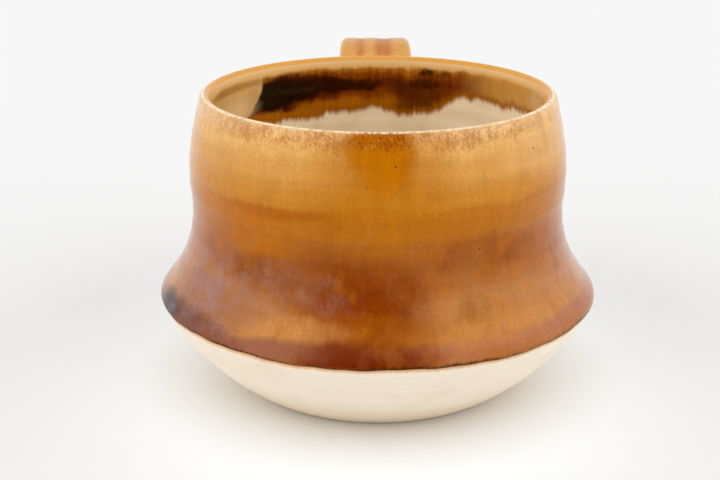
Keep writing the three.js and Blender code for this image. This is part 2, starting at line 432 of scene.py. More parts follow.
@dataclass(frozen=True)
class Flecks:
    """Dashes where a glaze breaks: their noise, how far they gather in clusters, and how they show."""

    noise: Streaks
    gathered: float
    shown: Rise

    def share(self, mug: MugSpace, clusters: Signal, limit: Number) -> Signal:
        """Gives how much of the dashes shows where their noise and the clusters rise over a limit."""
        return self.shown.of(self.noise.on(mug) + clusters * self.gathered - limit)


@dataclass(frozen=True)
class Finish:
    """What every finish has: its name, its gloss, and a colour and a fine relief of its own kind."""

    name: str
    roughness: Union[Swing, float]
    relief_depth: float
    gloss: float
    gloss_tint: str = "ffffff"
    sheen: float = 0.0
    sheen_roughness: float = 0.5

    def colour(self, mug: MugSpace) -> Colour:
        """Gives the colour at a place on the mug."""
        raise NotImplementedError

    def relief(self, mug: MugSpace) -> Signal:
        """Gives the height of the fine relief at a place on the mug."""
        raise NotImplementedError

    def material(self) -> bpy.types.Material:
        """Makes the material.

        Returns:
            The finished material.
        """
        bench = NodeBench(bpy.data.materials.new(self.name))
        mug = MugSpace(bench)
        uneven = isinstance(self.roughness, Swing)
        shader = bench.add("ShaderNodeBsdfPrincipled", {
            "Base Color": self.colour(mug),
            "Roughness": self.roughness.on(mug) if uneven else self.roughness,
            "Normal": bench.relief(self.relief(mug), self.relief_depth),
            "Specular IOR Level": self.gloss,
            "Specular Tint": paint(self.gloss_tint),
            "Sheen Weight": self.sheen,
            "Sheen Roughness": self.sheen_roughness,
        })
        bench.add("ShaderNodeOutputMaterial", {"Surface": shader.outputs[0]})
        return bench.owner


# The colours of the amber glaze by height, from the glaze line to the lip, and the tint of its gloss.
AMBER_BANDS: Bands = (
    (25.0, "a4602a"),
    (29.0, "ac6a48"),
    (31.0, "ba7a3c"),
    (37.0, "b0703c"),
    (44.5, "a25a22"),
    (48.0, "9e561e"),
    (56.0, "b06818"),
    (60.0, "b46c18"),
    (62.5, "c17e2a"),
    (71.0, "cd934a"),
    (76.0, "dba862"),
    (79.0, "e8bc82"),
)
AMBER_TINT = "ffc468"

# The short dashes in the glaze under the lip and on its crest, and how the crest is worn pale and lit by a
# painted highlight between them.
LIP_DASHES = Streaks(125.0, 1.5, 3.0, 0.6)
CREST_DASHES = Streaks(105.0, 1.2, 3.0, 0.6)
LIP_WEAR_AND_HIGHLIGHT = Cover(Streaks(30.0, 0.4, 4.0, 0.6), Rise(0.4, 0.58, 0.92, 0.3))


@dataclass(frozen=True)
class BareClay(Finish):
    """Fired cream stoneware with a fine grain, blushed orange where it meets the glaze."""

    name: str = "bare_clay"
    roughness: float = 0.85
    relief_depth: float = 0.05
    gloss: float = 0.25
    cream: str = "f0e3d0"
    clouds: Stain = Stain(Clouds(9.0, 4.0), Rise(0.45, 0.85, 0.7), "e6d5be")
    rings: Stain = Stain(Streaks(0.4, 1.6, 3.0), Rise(0.5, 0.8, 0.3), "e6d5be")
    specks: Specks = Specks("b79a76", spacing=1.6, radius=0.16, filled=0.12, strength=0.5)
    foot: str = "e8d0ac"
    foot_share: Rise = Rise(12.0, 2.0, 0.6)
    blush: str = "dc9c50"
    blush_share: Rise = Rise(1.4, 0.15, 0.85)
    blush_waver: Swing = Swing(Streaks(60.0, 0.1), 0.8)
    grain: Clouds = Clouds(0.5, 4.0)
    grain_relief: float = 0.6
    ring_relief: float = 0.8

    def colour(self, mug: MugSpace) -> Colour:
        """Lays clouds, rings and specks over the cream, warms the foot, and blushes the clay by the glaze.

        Args:
            mug: Places on the mug.

        Returns:
            The colour.
        """
        colour = self.clouds.over(mug, paint(self.cream))
        colour = self.rings.over(mug, colour)
        colour = self.specks.over(mug, colour)
        colour = mug.bench.lay(colour, paint(self.foot), self.foot_share.of(mug.height))
        below = mug.bench.attribute("below_line") + self.blush_waver.on(mug)
        return mug.bench.lay(colour, paint(self.blush), self.blush_share.of(below))

    def relief(self, mug: MugSpace) -> Signal:
        """Gives the grain of the clay with its throwing rings."""
        return self.grain.on(mug) * self.grain_relief + self.rings.noise.on(mug) * self.ring_relief


@dataclass(frozen=True)
class ClaySlip(Finish):
    """Dried and fired slip, a little darker and rougher than the clay that it joins."""

    name: str = "clay_slip"
    roughness: float = 0.9
    relief_depth: float = 0.12
    gloss: float = 0.2
    pale: str = "dccab0"
    smears: Stain = Stain(Clouds(2.5, 4.0), Rise(0.4, 0.7), "c4ab88")

    def colour(self, mug: MugSpace) -> Colour:
        """Gives the slip with its darker smears."""
        return self.smears.over(mug, paint(self.pale))

    def relief(self, mug: MugSpace) -> Signal:
        """Gives the relief of the smears."""
        return self.smears.noise.on(mug)


@dataclass(frozen=True)
class AmberGlaze(Finish):
    """The outside glaze: tan where it is thin, red-brown where it has run down and pooled at the belly."""

    name: str = "amber_glaze"
    roughness: Swing = Swing(Clouds(6.0, 4.0), 0.12, 0.17)
    relief_depth: float = 0.05
    gloss: float = 0.22
    gloss_tint: str = AMBER_TINT
    sheen: float = 0.3
    sheen_roughness: float = 0.35
    # The bands and patches drift from their places by millimetres and degrees.
    height_drift: Swing = Swing(Clouds(26.0, 3.0), 6.0)
    run_drift: Swing = Swing(Streaks(11.0, 0.05, 4.0, 0.6), 3.2)
    azimuth_drift: Swing = Swing(Clouds(12.0, 4.0), 16.0)
    patches: tuple[Patch, ...] = (
        # The golden run down the front, and the red-brown pool that it ends in.
        Patch(0, 68, 26, 22, "b46a00", 0.6),
        Patch(1, 76, 12, 17, "b86a00", 1.0, 0.1),
        Patch(1, 78, 11, 4, "b06208", 0.7),
        Patch(-7, 40, 26, 13, "803200"),
        Patch(-3, 32.5, 24, 6, "984a00", 0.8),
        Patch(-3, 26.8, 24, 5.5, "6a1a00"),
        # Honey and brown stretches beside the run.
        Patch(-38, 52, 15, 9, "b46400", 0.8),
        Patch(-32, 43, 30, 6, "8a4410", 0.8),
        Patch(-30, 59.5, 24, 2.2, "a45000", 0.6),
        Patch(34, 49, 22, 6, "964c10", 0.7),
        # Tan and rose stretches at the belly, and tan under the lip.
        Patch(-25, 32, 18, 4, "c4844a", 0.8),
        Patch(-31, 27.6, 22, 3.0, "8c5442", 0.9),
        Patch(30, 31, 18, 4, "be7c3c", 0.7),
        Patch(58, 73, 26, 11, "e4b272", 0.35),
        # Thick glaze at the left, nearly black at its end.
        Patch(-54, 34, 26, 8, "985c38", 0.9),
        Patch(-56, 27.5, 24, 4.2, "66301f", 0.95),
        Patch(-70, 27.0, 13, 4.6, "2e1e28"),
        # The sides and the back.
        Patch(150, 44, 36, 12, "82380a", 0.8),
        Patch(-120, 40, 30, 14, "8a4410", 0.7),
        Patch(112, 34, 28, 9, "8a4210", 0.7),
        Patch(-108, 70, 20, 16, "b06800", 0.6),
    )
    # Small honey, umber and milky clouds, mostly where the glaze has run thick.
    clouds: tuple[Stain, ...] = (
        Stain(Clouds(6.0, 5.0, 0.55, (1.0, 1.0, 0.7)), Rise(0.5, 0.72, 0.5), "b46400"),
        Stain(Clouds(7.0, 5.0, 0.55, (1.0, 1.0, 0.7)), Rise(0.5, 0.72, 0.32), "6a2a02"),
        Stain(Clouds(5.0, 5.0, 0.55, (1.0, 1.0, 0.7)), Rise(0.5, 0.72, 0.3), "a06c40"),
    )
    thick_below: Rise = Rise(64.0, 46.0, low=0.25)
    thick_above: Rise = Rise(27.0, 34.0, low=0.4)
    # The milky bloom of fine crystals, partly a painted reflection, with painted glints in it.
    haze: tuple[Patch, ...] = (
        Patch(-54, 36, 24, 12, "967478", 0.9),
        # A painted glint in the dark patch at the left.
        Patch(-65, 27.2, 5, 1.7, "767a88", 0.7),
        Patch(-30, 41, 15, 8, "966c66", 0.65),
        Patch(-13, 40, 10, 6, "966c66", 0.5),
        Patch(20, 46, 14, 5, "8c5a44", 0.4),
        Patch(96, 38, 30, 10, "967068", 0.7),
        Patch(-150, 36, 26, 10, "967068", 0.7),
    )
    haze_clouds: Cover = Cover(Clouds(5.0, 4.0), Rise(0.3, 0.68))
    haze_grain: Cover = Cover(Clouds(0.5, 3.0), Rise(0.38, 0.66, 0.88, 0.28))
    painted_glints: Specks = Specks("b09a98", spacing=1.0, radius=0.24, filled=0.3, strength=0.26)
    # Fine runs, broad runs, the rings left by the potter's fingers, and a fine grain.
    shades: tuple[Swing, ...] = (
        Swing(Streaks(60.0, 0.08, 4.0, 0.65), 0.24, 1.0),
        Swing(Streaks(12.0, 0.06, 4.0, 0.6), 0.24, 1.0),
        Swing(Streaks(1.6, 0.5, 4.0, 0.6), 0.3, 1.0),
        Swing(Clouds(0.8, 4.0), 0.38, 1.0),
    )
    # The brown dashes under the lip. They gather in clusters, and more of them in the groups.
    mottle: str = "9c4a0a"
    clusters: Streaks = Streaks(10.0, 0.16, 4.0, 0.6)
    flecks: tuple[Flecks, ...] = (
        Flecks(LIP_DASHES, 0.55, Rise(-0.08, 0.12, 0.48)),
        Flecks(Streaks(46.0, 0.5, 4.0, 0.6), 0.5, Rise(-0.12, 0.2, 0.36)),
    )
    fleck_limit: Rise = Rise(71.0, 78.5, 0.51, 0.77)
    fleck_front: Rise = Rise(65.0, 35.0, low=0.5)
    fleck_groups: tuple[Patch, ...] = (
        Patch(-48, 77, 10, 3.2, "9c4a0a", 0.11),
        Patch(-24, 77, 8, 2.8, "9c4a0a", 0.08),
        Patch(23, 77, 10, 3.2, "9c4a0a", 0.09),
    )
    # The lip: dark and gold over the golden run, and pale at its edge, partly worn and partly a painted
    # highlight along the crest.
    dark_lip: Patch = Patch(1, 78.4, 11, 3.4, "863c00", 1.0, 0.2)
    dark_flecks: Flecks = Flecks(LIP_DASHES, 0.3, Rise(0.44, 0.62, 0.8))
    gold: Stain = Stain(Clouds(1.2), Rise(0.52, 0.72, 0.3), "e0a038")
    pale_lip_and_highlight: str = "f6e0b8"
    pale_lip_and_highlight_share: Rise = Rise(79.55, 79.85)
    pale_lip_and_highlight_waver: Swing = Swing(LIP_DASHES, 0.8)
    # The dark roll of thick glaze along the line where it stops, thicker at the right.
    edge: str = "3a1604"
    edge_share: Rise = Rise(1.1, 0.5, 0.9)
    edge_waver: Swing = Swing(Streaks(90.0, 0.1, 3.0), 1.2)
    edge_least: float = 0.6
    edge_uneven: Cover = Cover(Streaks(2.5, 0.01), Rise(0.35, 0.65, 0.4))
    edge_right: Rise = Rise(10.0, 60.0, 0.35)
    specks: Specks = Specks("4a1f06", spacing=3.4, radius=0.34, filled=0.15, strength=0.9)
    ripple: Clouds = Clouds(3.0)
    ripple_relief: float = 0.7
    fine_runs: Streaks = Streaks(40.0, 0.2)
    fine_run_relief: float = 0.3

    def colour(self, mug: MugSpace) -> Colour:
        """Lays the bands, patches, clouds, bloom, runs, dashes and specks over one another.

        Args:
            mug: Places on the mug.

        Returns:
            The colour.
        """
        height = mug.height + self.height_drift.on(mug) + self.run_drift.on(mug)
        azimuth = mug.azimuth + self.azimuth_drift.on(mug)
        colour = mug.bench.ramp(height, AMBER_BANDS)
        for patch in self.patches:
            colour = patch.over(colour, azimuth, height)
        thick = self.thick_below.of(mug.height) * self.thick_above.of(mug.height)
        for clouds in self.clouds:
            colour = clouds.over(mug, colour, thick)
        colour = self.hazed(mug, colour, azimuth, height)
        for shade in self.shades:
            colour = mug.bench.shaded(colour, shade.on(mug))
        colour = self.mottled(mug, colour)
        colour = self.edged(mug, colour)
        return self.specks.over(mug, colour)

    def hazed(self, mug: MugSpace, colour: Colour, azimuth: Signal, height: Signal) -> Colour:
        """Lays the milky blue-grey bloom of fine crystals over the flare, partly a painted reflection, with
        painted glints in it.

        Args:
            mug: Places on the mug.
            colour: The glaze below the bloom.
            azimuth: The place's azimuth, in degrees.
            height: The place's height, in millimetres.

        Returns:
            The glaze with its bloom.
        """
        uneven = self.haze_clouds.on(mug)
        haze_grain = self.haze_grain.on(mug)
        # Painted glints in the bloom.
        glints = self.painted_glints.mask(mug)
        for patch in self.haze:
            share = patch.mask(azimuth, height) * uneven
            colour = mug.bench.lay(colour, paint(patch.colour), share * haze_grain)
            colour = mug.bench.lay(colour, paint(self.painted_glints.colour), share * glints)
        return colour

    def mottled(self, mug: MugSpace, colour: Colour) -> Colour:
        """Sets short brown dashes under the lip, where the glaze breaks, and leaves the lip itself pale,
        partly worn and partly lit by a painted highlight.

        Args:
            mug: Places on the mug.
            colour: The glaze below the dashes.

        Returns:
            The mottled glaze.
        """
        bench = mug.bench
        clusters = self.clusters.on(mug).centred()
        limit = self.fleck_limit.of(mug.height)
        for group in self.fleck_groups:
            limit = limit - group.mask(mug.azimuth, mug.height)
        front = self.fleck_front.of(abs(mug.azimuth))
        for flecks in self.flecks:
            colour = bench.lay(colour, paint(self.mottle), flecks.share(mug, clusters, limit) * front)
        middle = self.dark_lip.mask(mug.azimuth, mug.height)
        dark = self.dark_flecks.share(mug, clusters, 0.0) * middle
        colour = bench.lay(colour, paint(self.dark_lip.colour), dark)
        colour = self.gold.over(mug, colour, middle)
        # The pale edge of the lip: partly wear, partly a painted highlight along the crest.
        lip = self.pale_lip_and_highlight_share.of(mug.height + self.pale_lip_and_highlight_waver.on(mug))
        return bench.lay(colour, paint(self.pale_lip_and_highlight), lip * LIP_WEAR_AND_HIGHLIGHT.on(mug))

    def edged(self, mug: MugSpace, colour: Colour) -> Colour:
        """Darkens the thick roll of glaze along the line where it stops.

        Args:
            mug: Places on the mug.
            colour: The glaze.

        Returns:
            The glaze with its dark edge.
        """
        above = mug.bench.attribute("above_line") + self.edge_waver.on(mug)
        thick = self.edge_uneven.on(mug) + self.edge_right.of(mug.azimuth) + self.edge_least
        return mug.bench.lay(colour, paint(self.edge), self.edge_share.of(above / thick))

    def relief(self, mug: MugSpace) -> Signal:
        """Gives the soft ripple of the glaze with its fine runs."""
        return self.ripple.on(mug) * self.ripple_relief + self.fine_runs.on(mug) * self.fine_run_relief


@dataclass(frozen=True)
class CreamLiner(Finish):
    """The pale glaze poured inside."""

    name: str = "cream_liner"
    roughness: Swing = Swing(Clouds(8.0, 3.0), 0.14, 0.37)
    relief_depth: float = 0.05
    gloss: float = 0.35
    cream: str = "f7e6c8"
    clouds: Stain = Stain(Clouds(12.0, 4.0), Rise(0.4, 0.8), "e8d2ae")
    specks: Specks = Specks("8d6a3c", spacing=3.0, radius=0.25, filled=0.1, strength=0.6)
    ripple: Clouds = Clouds(3.0)

    def colour(self, mug: MugSpace) -> Colour:
        """Gives the liner's colour with its clouds and specks."""
        return self.specks.over(mug, self.clouds.over(mug, paint(self.cream)))

    def relief(self, mug: MugSpace) -> Signal:
        """Gives the soft ripple of the glaze."""
        return self.ripple.on(mug)


@dataclass(frozen=True)
class DarkRunGlaze(Finish):
    """The overlap inside the lip: amber at the lip, dark brown below, ending in a ragged fringe of runs."""

    name: str = "dark_run_glaze"
    roughness: Swing = Swing(Clouds(5.0, 3.0), 0.12, 0.18)
    relief_depth: float = 0.06
    gloss: float = 0.2
    gloss_tint: str = AMBER_TINT
    liner: CreamLiner = CreamLiner()
    runs: Streaks = Streaks(48.0, 0.06, 4.0, 0.65)
    waves: Clouds = Clouds(5.0, 4.0)
    # Colours by height. They drift from their places by millimetres and degrees.
    bands: Bands = (
        (62.0, "b87408"),
        (66.0, "a86006"),
        (69.0, "7e3804"),
        (72.0, "6a2604"),
        (74.5, "803c04"),
        (76.4, "a46416"),
        (78.2, "dca04c"),
    )
    fold_drift: Swing = Swing(Streaks(7.0, 0.25, 4.0), 5.0)
    wave_drift: float = 3.0
    run_drift: float = 1.3
    azimuth_drift: float = 12.0
    # The black pool at the back left with its brown edge, then the lesser pools.
    pool_edge: Patch = Patch(-138, 71.0, 34, 6.0, "4a1000", 1.0, 0.4)
    black_pool: Patch = Patch(-136, 70.9, 29, 4.6, "0a0200", 1.0, 0.4)
    pools: tuple[Patch, ...] = (
        Patch(-164, 71.6, 24, 2.4, "240600", 0.95, 0.2),
        Patch(165, 70, 12, 6, "441a02", 0.75),
        Patch(165, 65, 12, 5, "501e02", 0.8),
        Patch(60, 71, 40, 7, "562810", 0.8),
        Patch(-40, 72, 30, 6, "562810", 0.8),
    )
    # A faint seam along the black pool, and ragged smears beside it.
    seam: str = "2c2a1c"
    seam_height: float = 71.6
    seam_wave: float = 2.0
    seam_share: Rise = Rise(1.1, 0.0, 0.35)
    smears: tuple[Patch, ...] = (
        Patch(158, 75.8, 8, 1.4, "1c0600"),
        Patch(161, 72.0, 11, 2.0, "2c0c02", 0.8),
    )
    ragged: Cover = Cover(Clouds(2.6, 4.0), Rise(0.36, 0.58))
    # Thin tan washes at both sides, which the runs don't shade.
    left_wash: Patch = Patch(-104, 76, 29, 16, "d0a464", 1.0, 0.9)
    right_wash: Patch = Patch(112, 72, 38, 18, "c68e42")
    wash_tints: tuple[Patch, ...] = (
        Patch(-112, 75.8, 30, 1.8, "a87230", 0.8),
        # A paler patch in the left wash, partly a painted soft highlight.
        Patch(-116, 68.5, 18, 5.0, "deba8c", 0.7),
        Patch(95, 74, 20, 12, "cca266", 0.8),
    )
    wash_wave: float = 3.0
    run_shade: float = 1.5
    broad_shade: Swing = Swing(Streaks(9.0, 0.03, 4.0, 0.6), 0.5, 1.0)
    # The fringe where the runs end on the liner.
    fringe: str = "a05a00"
    fringe_share: Rise = Rise(-3.0, -0.6, 0.95)
    fringe_runs: float = 2.8
    fringe_lobes: Swing = Swing(Streaks(13.0, 0.02, 3.0), 3.0)
    liner_share: Rise = Rise(-1.1, 1.1)
    # The lip, from the pale band inside it to its crest, with a painted highlight along its inner edge and
    # another, broken where it is worn, along the front of the crest.
    inner_band: str = "e4b676"
    inner_band_share: Rise = Rise(76.2, 77.8)
    inner_band_wave: float = 2.0
    crest: str = "dc9c46"
    crest_share: Rise = Rise(78.5, 79.1)
    flecks: Stain = Stain(CREST_DASHES, Rise(0.52, 0.68, 0.25), "a05a00")
    fleck_share: Rise = Rise(78.2, 79.2)
    painted_highlight: str = "f6e2bc"
    inner_highlight_height: float = 78.6
    inner_highlight_share: Rise = Rise(0.9, 0.0, 0.25)
    worn_highlight_share: Rise = Rise(79.4, 79.8)
    worn_highlight_waver: Swing = Swing(CREST_DASHES, 1.0)
    worn_highlight_front: Rise = Rise(85.0, 55.0)

    def colour(self, mug: MugSpace) -> Colour:
        """Lays the pools, the washes, the fringe and the lip over one another.

        Args:
            mug: Places on the mug.

        Returns:
            The colour.
        """
        runs = self.runs.on(mug).centred()
        waves = self.waves.on(mug).centred()
        colour = self.pooled(mug, runs, waves)
        colour = self.washed(mug, colour, runs, waves)
        colour = self.fringed(mug, colour, runs)
        return self.lipped(mug, colour, waves)

    def pooled(self, mug: MugSpace, runs: Signal, waves: Signal) -> Colour:
        """Lays the dark bands with their pools and smears.

        Args:
            mug: Places on the mug.
            runs: Noise drawn out down the wall, about 0.
            waves: Noise in soft clouds, about 0.

        Returns:
            The glaze.
        """
        azimuth = mug.azimuth + waves * self.azimuth_drift
        height = mug.height + self.fold_drift.on(mug) + waves * self.wave_drift + runs * self.run_drift
        colour = mug.bench.ramp(height, self.bands)
        for pool in (self.pool_edge, self.black_pool, *self.pools):
            colour = pool.over(colour, azimuth, height)
        off_seam = abs(height + waves * self.seam_wave - self.seam_height)
        seam = self.seam_share.of(off_seam) * self.black_pool.mask(azimuth, height)
        colour = mug.bench.lay(colour, paint(self.seam), seam)
        ragged = self.ragged.on(mug)
        for smear in self.smears:
            share = smear.mask(azimuth, mug.height) * ragged
            colour = mug.bench.lay(colour, paint(smear.colour), share)
        return colour

    def washed(self, mug: MugSpace, colour: Colour, runs: Signal, waves: Signal) -> Colour:
        """Thins the glaze to a wash at both sides, and shades the rest with its runs.

        Args:
            mug: Places on the mug.
            colour: The dark glaze.
            runs: Noise drawn out down the wall, about 0.
            waves: Noise in soft clouds, about 0.

        Returns:
            The glaze with its washes.
        """
        azimuth = mug.azimuth + waves * self.wash_wave
        left = self.left_wash.mask(azimuth, mug.height)
        right = self.right_wash.mask(azimuth, mug.height)
        thin = left.math("MAXIMUM", right)
        colour = mug.bench.shaded(colour, (runs * self.run_shade + 1.0) * thin.flipped() + thin)
        for wash in (self.left_wash, self.right_wash, *self.wash_tints):
            colour = wash.over(colour, azimuth, mug.height)
        return mug.bench.shaded(colour, self.broad_shade.on(mug))

    def fringed(self, mug: MugSpace, colour: Colour, runs: Signal) -> Colour:
        """Ends the glaze in an amber fringe of runs, with the liner below it.

        Args:
            mug: Places on the mug.
            colour: The glaze.
            runs: Noise drawn out down the wall, about 0.

        Returns:
            The glaze, its fringe and the liner.
        """
        past = mug.bench.attribute("past_fringe") + runs * self.fringe_runs + self.fringe_lobes.on(mug)
        colour = mug.bench.lay(colour, paint(self.fringe), self.fringe_share.of(past))
        return mug.bench.lay(colour, self.liner.colour(mug), self.liner_share.of(past))

    def lipped(self, mug: MugSpace, colour: Colour, waves: Signal) -> Colour:
        """Lays the pale band inside the lip, the golden crest with its flecks, a painted highlight along the
        inner edge, and a painted highlight along the front of the crest, broken where it is worn.

        Args:
            mug: Places on the mug.
            colour: The glaze below the lip.
            waves: Noise in soft clouds, about 0.

        Returns:
            The glaze with its lip.
        """
        bench = mug.bench
        band = self.inner_band_share.of(mug.height + waves * self.inner_band_wave)
        colour = bench.lay(colour, paint(self.inner_band), band)
        colour = bench.lay(colour, paint(self.crest), self.crest_share.of(mug.height))
        colour = self.flecks.over(mug, colour, self.fleck_share.of(mug.height))
        # A painted highlight along the lip's inner edge.
        inner_highlight = self.inner_highlight_share.of(abs(mug.height - self.inner_highlight_height))
        colour = bench.lay(colour, paint(self.painted_highlight), inner_highlight)
        # A painted highlight along the crest, only towards the front, broken where the lip is worn.
        worn_highlight = self.worn_highlight_share.of(mug.height + self.worn_highlight_waver.on(mug))
        front = self.worn_highlight_front.of(abs(mug.azimuth))
        return bench.lay(colour, paint(self.painted_highlight), worn_highlight * front * LIP_WEAR_AND_HIGHLIGHT.on(mug))

    def relief(self, mug: MugSpace) -> Signal:
        """Gives the relief of the runs."""
        return self.runs.on(mug)


@dataclass(frozen=True)
class HandleGlaze(Finish):
    """The outside glaze on the strap: tan on the ridges of its crest, brown in its grooves and lower down."""

    name: str = "amber_handle_glaze"
    roughness: Swing = Swing(Clouds(5.0, 3.0), 0.14, 0.23)
    relief_depth: float = 0.06
    gloss: float = 0.22
    gloss_tint: str = AMBER_TINT
    blotches: Clouds = Clouds(4.0, 4.0)
    blotch_drift: float = 8.0
    blotch_depth: float = 0.5
    ridge: str = "d2964a"
    groove: str = "be742e"
    groove_share: Rise = Rise(0.0, 0.75)
    crest_by_height: Rise = Rise(58.0, 74.0)
    crest_by_radius: Rise = Rise(50.0, 60.0)
    pool: str = "7a3c0c"
    pool_share: Rise = Rise(0.2, 1.0, 0.35)
    streaks: Stain = Stain(Clouds(1.0, 4.0, 0.65, (1.1, 0.3, 0.3)), Rise(0.5, 0.8, 0.4), "a05a24")
    specks: Specks = Specks("5a2a0a", spacing=2.6, radius=0.3, filled=0.14, strength=0.7)
    grain: Swing = Swing(Clouds(0.8, 4.0), 0.5, 1.0)

    def colour(self, mug: MugSpace) -> Colour:
        """Lays the bands, the pools in the grooves, the tan crest, streaks and specks over one another.

        Args:
            mug: Places on the mug.

        Returns:
            The colour.
        """
        bench = mug.bench
        blotches = self.blotches.on(mug).centred()
        deep = bench.attribute("groove") + blotches * self.blotch_depth
        height = mug.height + blotches * self.blotch_drift
        colour = bench.ramp(height, AMBER_BANDS)
        colour = bench.lay(colour, paint(self.pool), self.pool_share.of(deep))
        crest = bench.lay(paint(self.ridge), paint(self.groove), self.groove_share.of(deep))
        crest_share = self.crest_by_height.of(height) * self.crest_by_radius.of(mug.radius)
        colour = bench.lay(colour, crest, crest_share)
        colour = self.streaks.over(mug, colour)
        colour = self.specks.over(mug, colour)
        return bench.shaded(colour, self.grain.on(mug))

    def relief(self, mug: MugSpace) -> Signal:
        """Gives the relief of the streaks along the strap."""
        return self.streaks.noise.on(mug)


@dataclass(frozen=True)
class PaleTable(Finish):
    """The table's plain pale surface, with painted light in a ring round the mug that lifts the mug's shadow
    there.
    """

    name: str = "pale_table"
    roughness: float = 0.9
    relief_depth: float = 0.02
    gloss: float = 0.1
    plain: str = "ebebeb"
    # Painted light: a lighter, cooler ring where the mug's shadow falls on the table.
    ring: str = "f6f9fb"
    painted_light_inside: Rise = Rise(34.0, 72.0)
    painted_light_outside: Rise = Rise(116.0, 56.0)
    grain: Clouds = Clouds(1.1)

    def colour(self, mug: MugSpace) -> Colour:
        """Gives the plain colour with its lighter ring."""
        # Painted light that lifts the mug's shadow on the table.
        ring = self.painted_light_inside.of(mug.radius) * self.painted_light_outside.of(mug.radius)
        return mug.bench.lay(paint(self.plain), paint(self.ring), ring)

    def relief(self, mug: MugSpace) -> Signal:
        """Gives the fine grain."""
        return self.grain.on(mug)


@dataclass(frozen=True)
class Station:
    """A place on an outline, its heading in degrees, and how far its tangent holds the curve on each side."""

    across: float
    height: float
    heading: float
    before: float = 0.0
    after: float = 0.0

    def point(self) -> Vector:
        """Gives the place."""
        return Vector((self.across, self.height))

    def handle(self, reach: float) -> Vector:
        """Gives the curve's handle a distance ahead of the place."""
        angle = math.radians(self.heading)
        return self.point() + reach * Vector((math.cos(angle), math.sin(angle)))


class Outline:
    """A smooth line in a plane, measured along its length."""

    def __init__(self, points: Sequence[Vector]) -> None:
        """Keeps the points, and how far along each lies.

        Args:
            points: Points in order along the line. Repeated ones are dropped.
        """
        self.points = [points[0]]
        self.lengths = [0.0]
        for point in points[1:]:
            step = (point - self.points[-1]).length
            if step > SAME_POINT_MM:
                self.points.append(point)
                self.lengths.append(self.lengths[-1] + step)

    @staticmethod
    def curve(stations: Sequence[Station]) -> list[Vector]:
        """Lists points along the smooth curve through a row of stations.

        Args:
            stations: The stations in order.

        Returns:
            The points.
        """
        points: list[Vector] = []
        for start, end in zip(stations, stations[1:]):
            leaving = start.handle(start.after)
            arriving = end.handle(-end.before)
            points += interpolate_bezier(start.point(), leaving, arriving, end.point(), CURVE_STEPS)
        return points

    @staticmethod
    def arc(centre: Vector, radius: float, start: float, end: float) -> list[Vector]:
        """Lists points on an arc between two angles in degrees."""
        angles = [math.radians(start + (end - start) * i / CURVE_STEPS) for i in range(CURVE_STEPS + 1)]
        return [centre + radius * Vector((math.cos(angle), math.sin(angle))) for angle in angles]

    @property
    def length(self) -> float:
        """Gives the line's whole length."""
        return self.lengths[-1]

    def at(self, along: float) -> tuple[Vector, Vector]:
        """Finds a place on the line.

        Args:
            along: Distance along the line.

        Returns:
            The point, and the unit normal to the line's right.
        """
        i = min(max(bisect.bisect_right(self.lengths, along), 1), len(self.lengths) - 1)
        share = (along - self.lengths[i - 1]) / (self.lengths[i] - self.lengths[i - 1])
        point = self.points[i - 1].lerp(self.points[i], share)
        first = self.points[max(i - 2, 0)]
        last = self.points[min(i + 1, len(self.points) - 1)]
        heading = (last - first).normalized()
        return point, Vector((heading.y, -heading.x))

    def nearest(self, place: Vector) -> float:
        """Gives the distance along the line of its point nearest to a place."""
        i = min(range(len(self.points)), key=lambda k: (self.points[k] - place).length)
        return self.lengths[i]


@dataclass(frozen=True)
class Wave:
    """A wave round the mug: its number of crests, its height in millimetres and its phase in radians."""

    crests: int
    height: float
    phase: float = 0.0

    def at(self, azimuth: float) -> float:
        """Gives the wave at an azimuth in degrees."""
        return self.height * math.sin(self.crests * math.radians(azimuth) + self.phase)


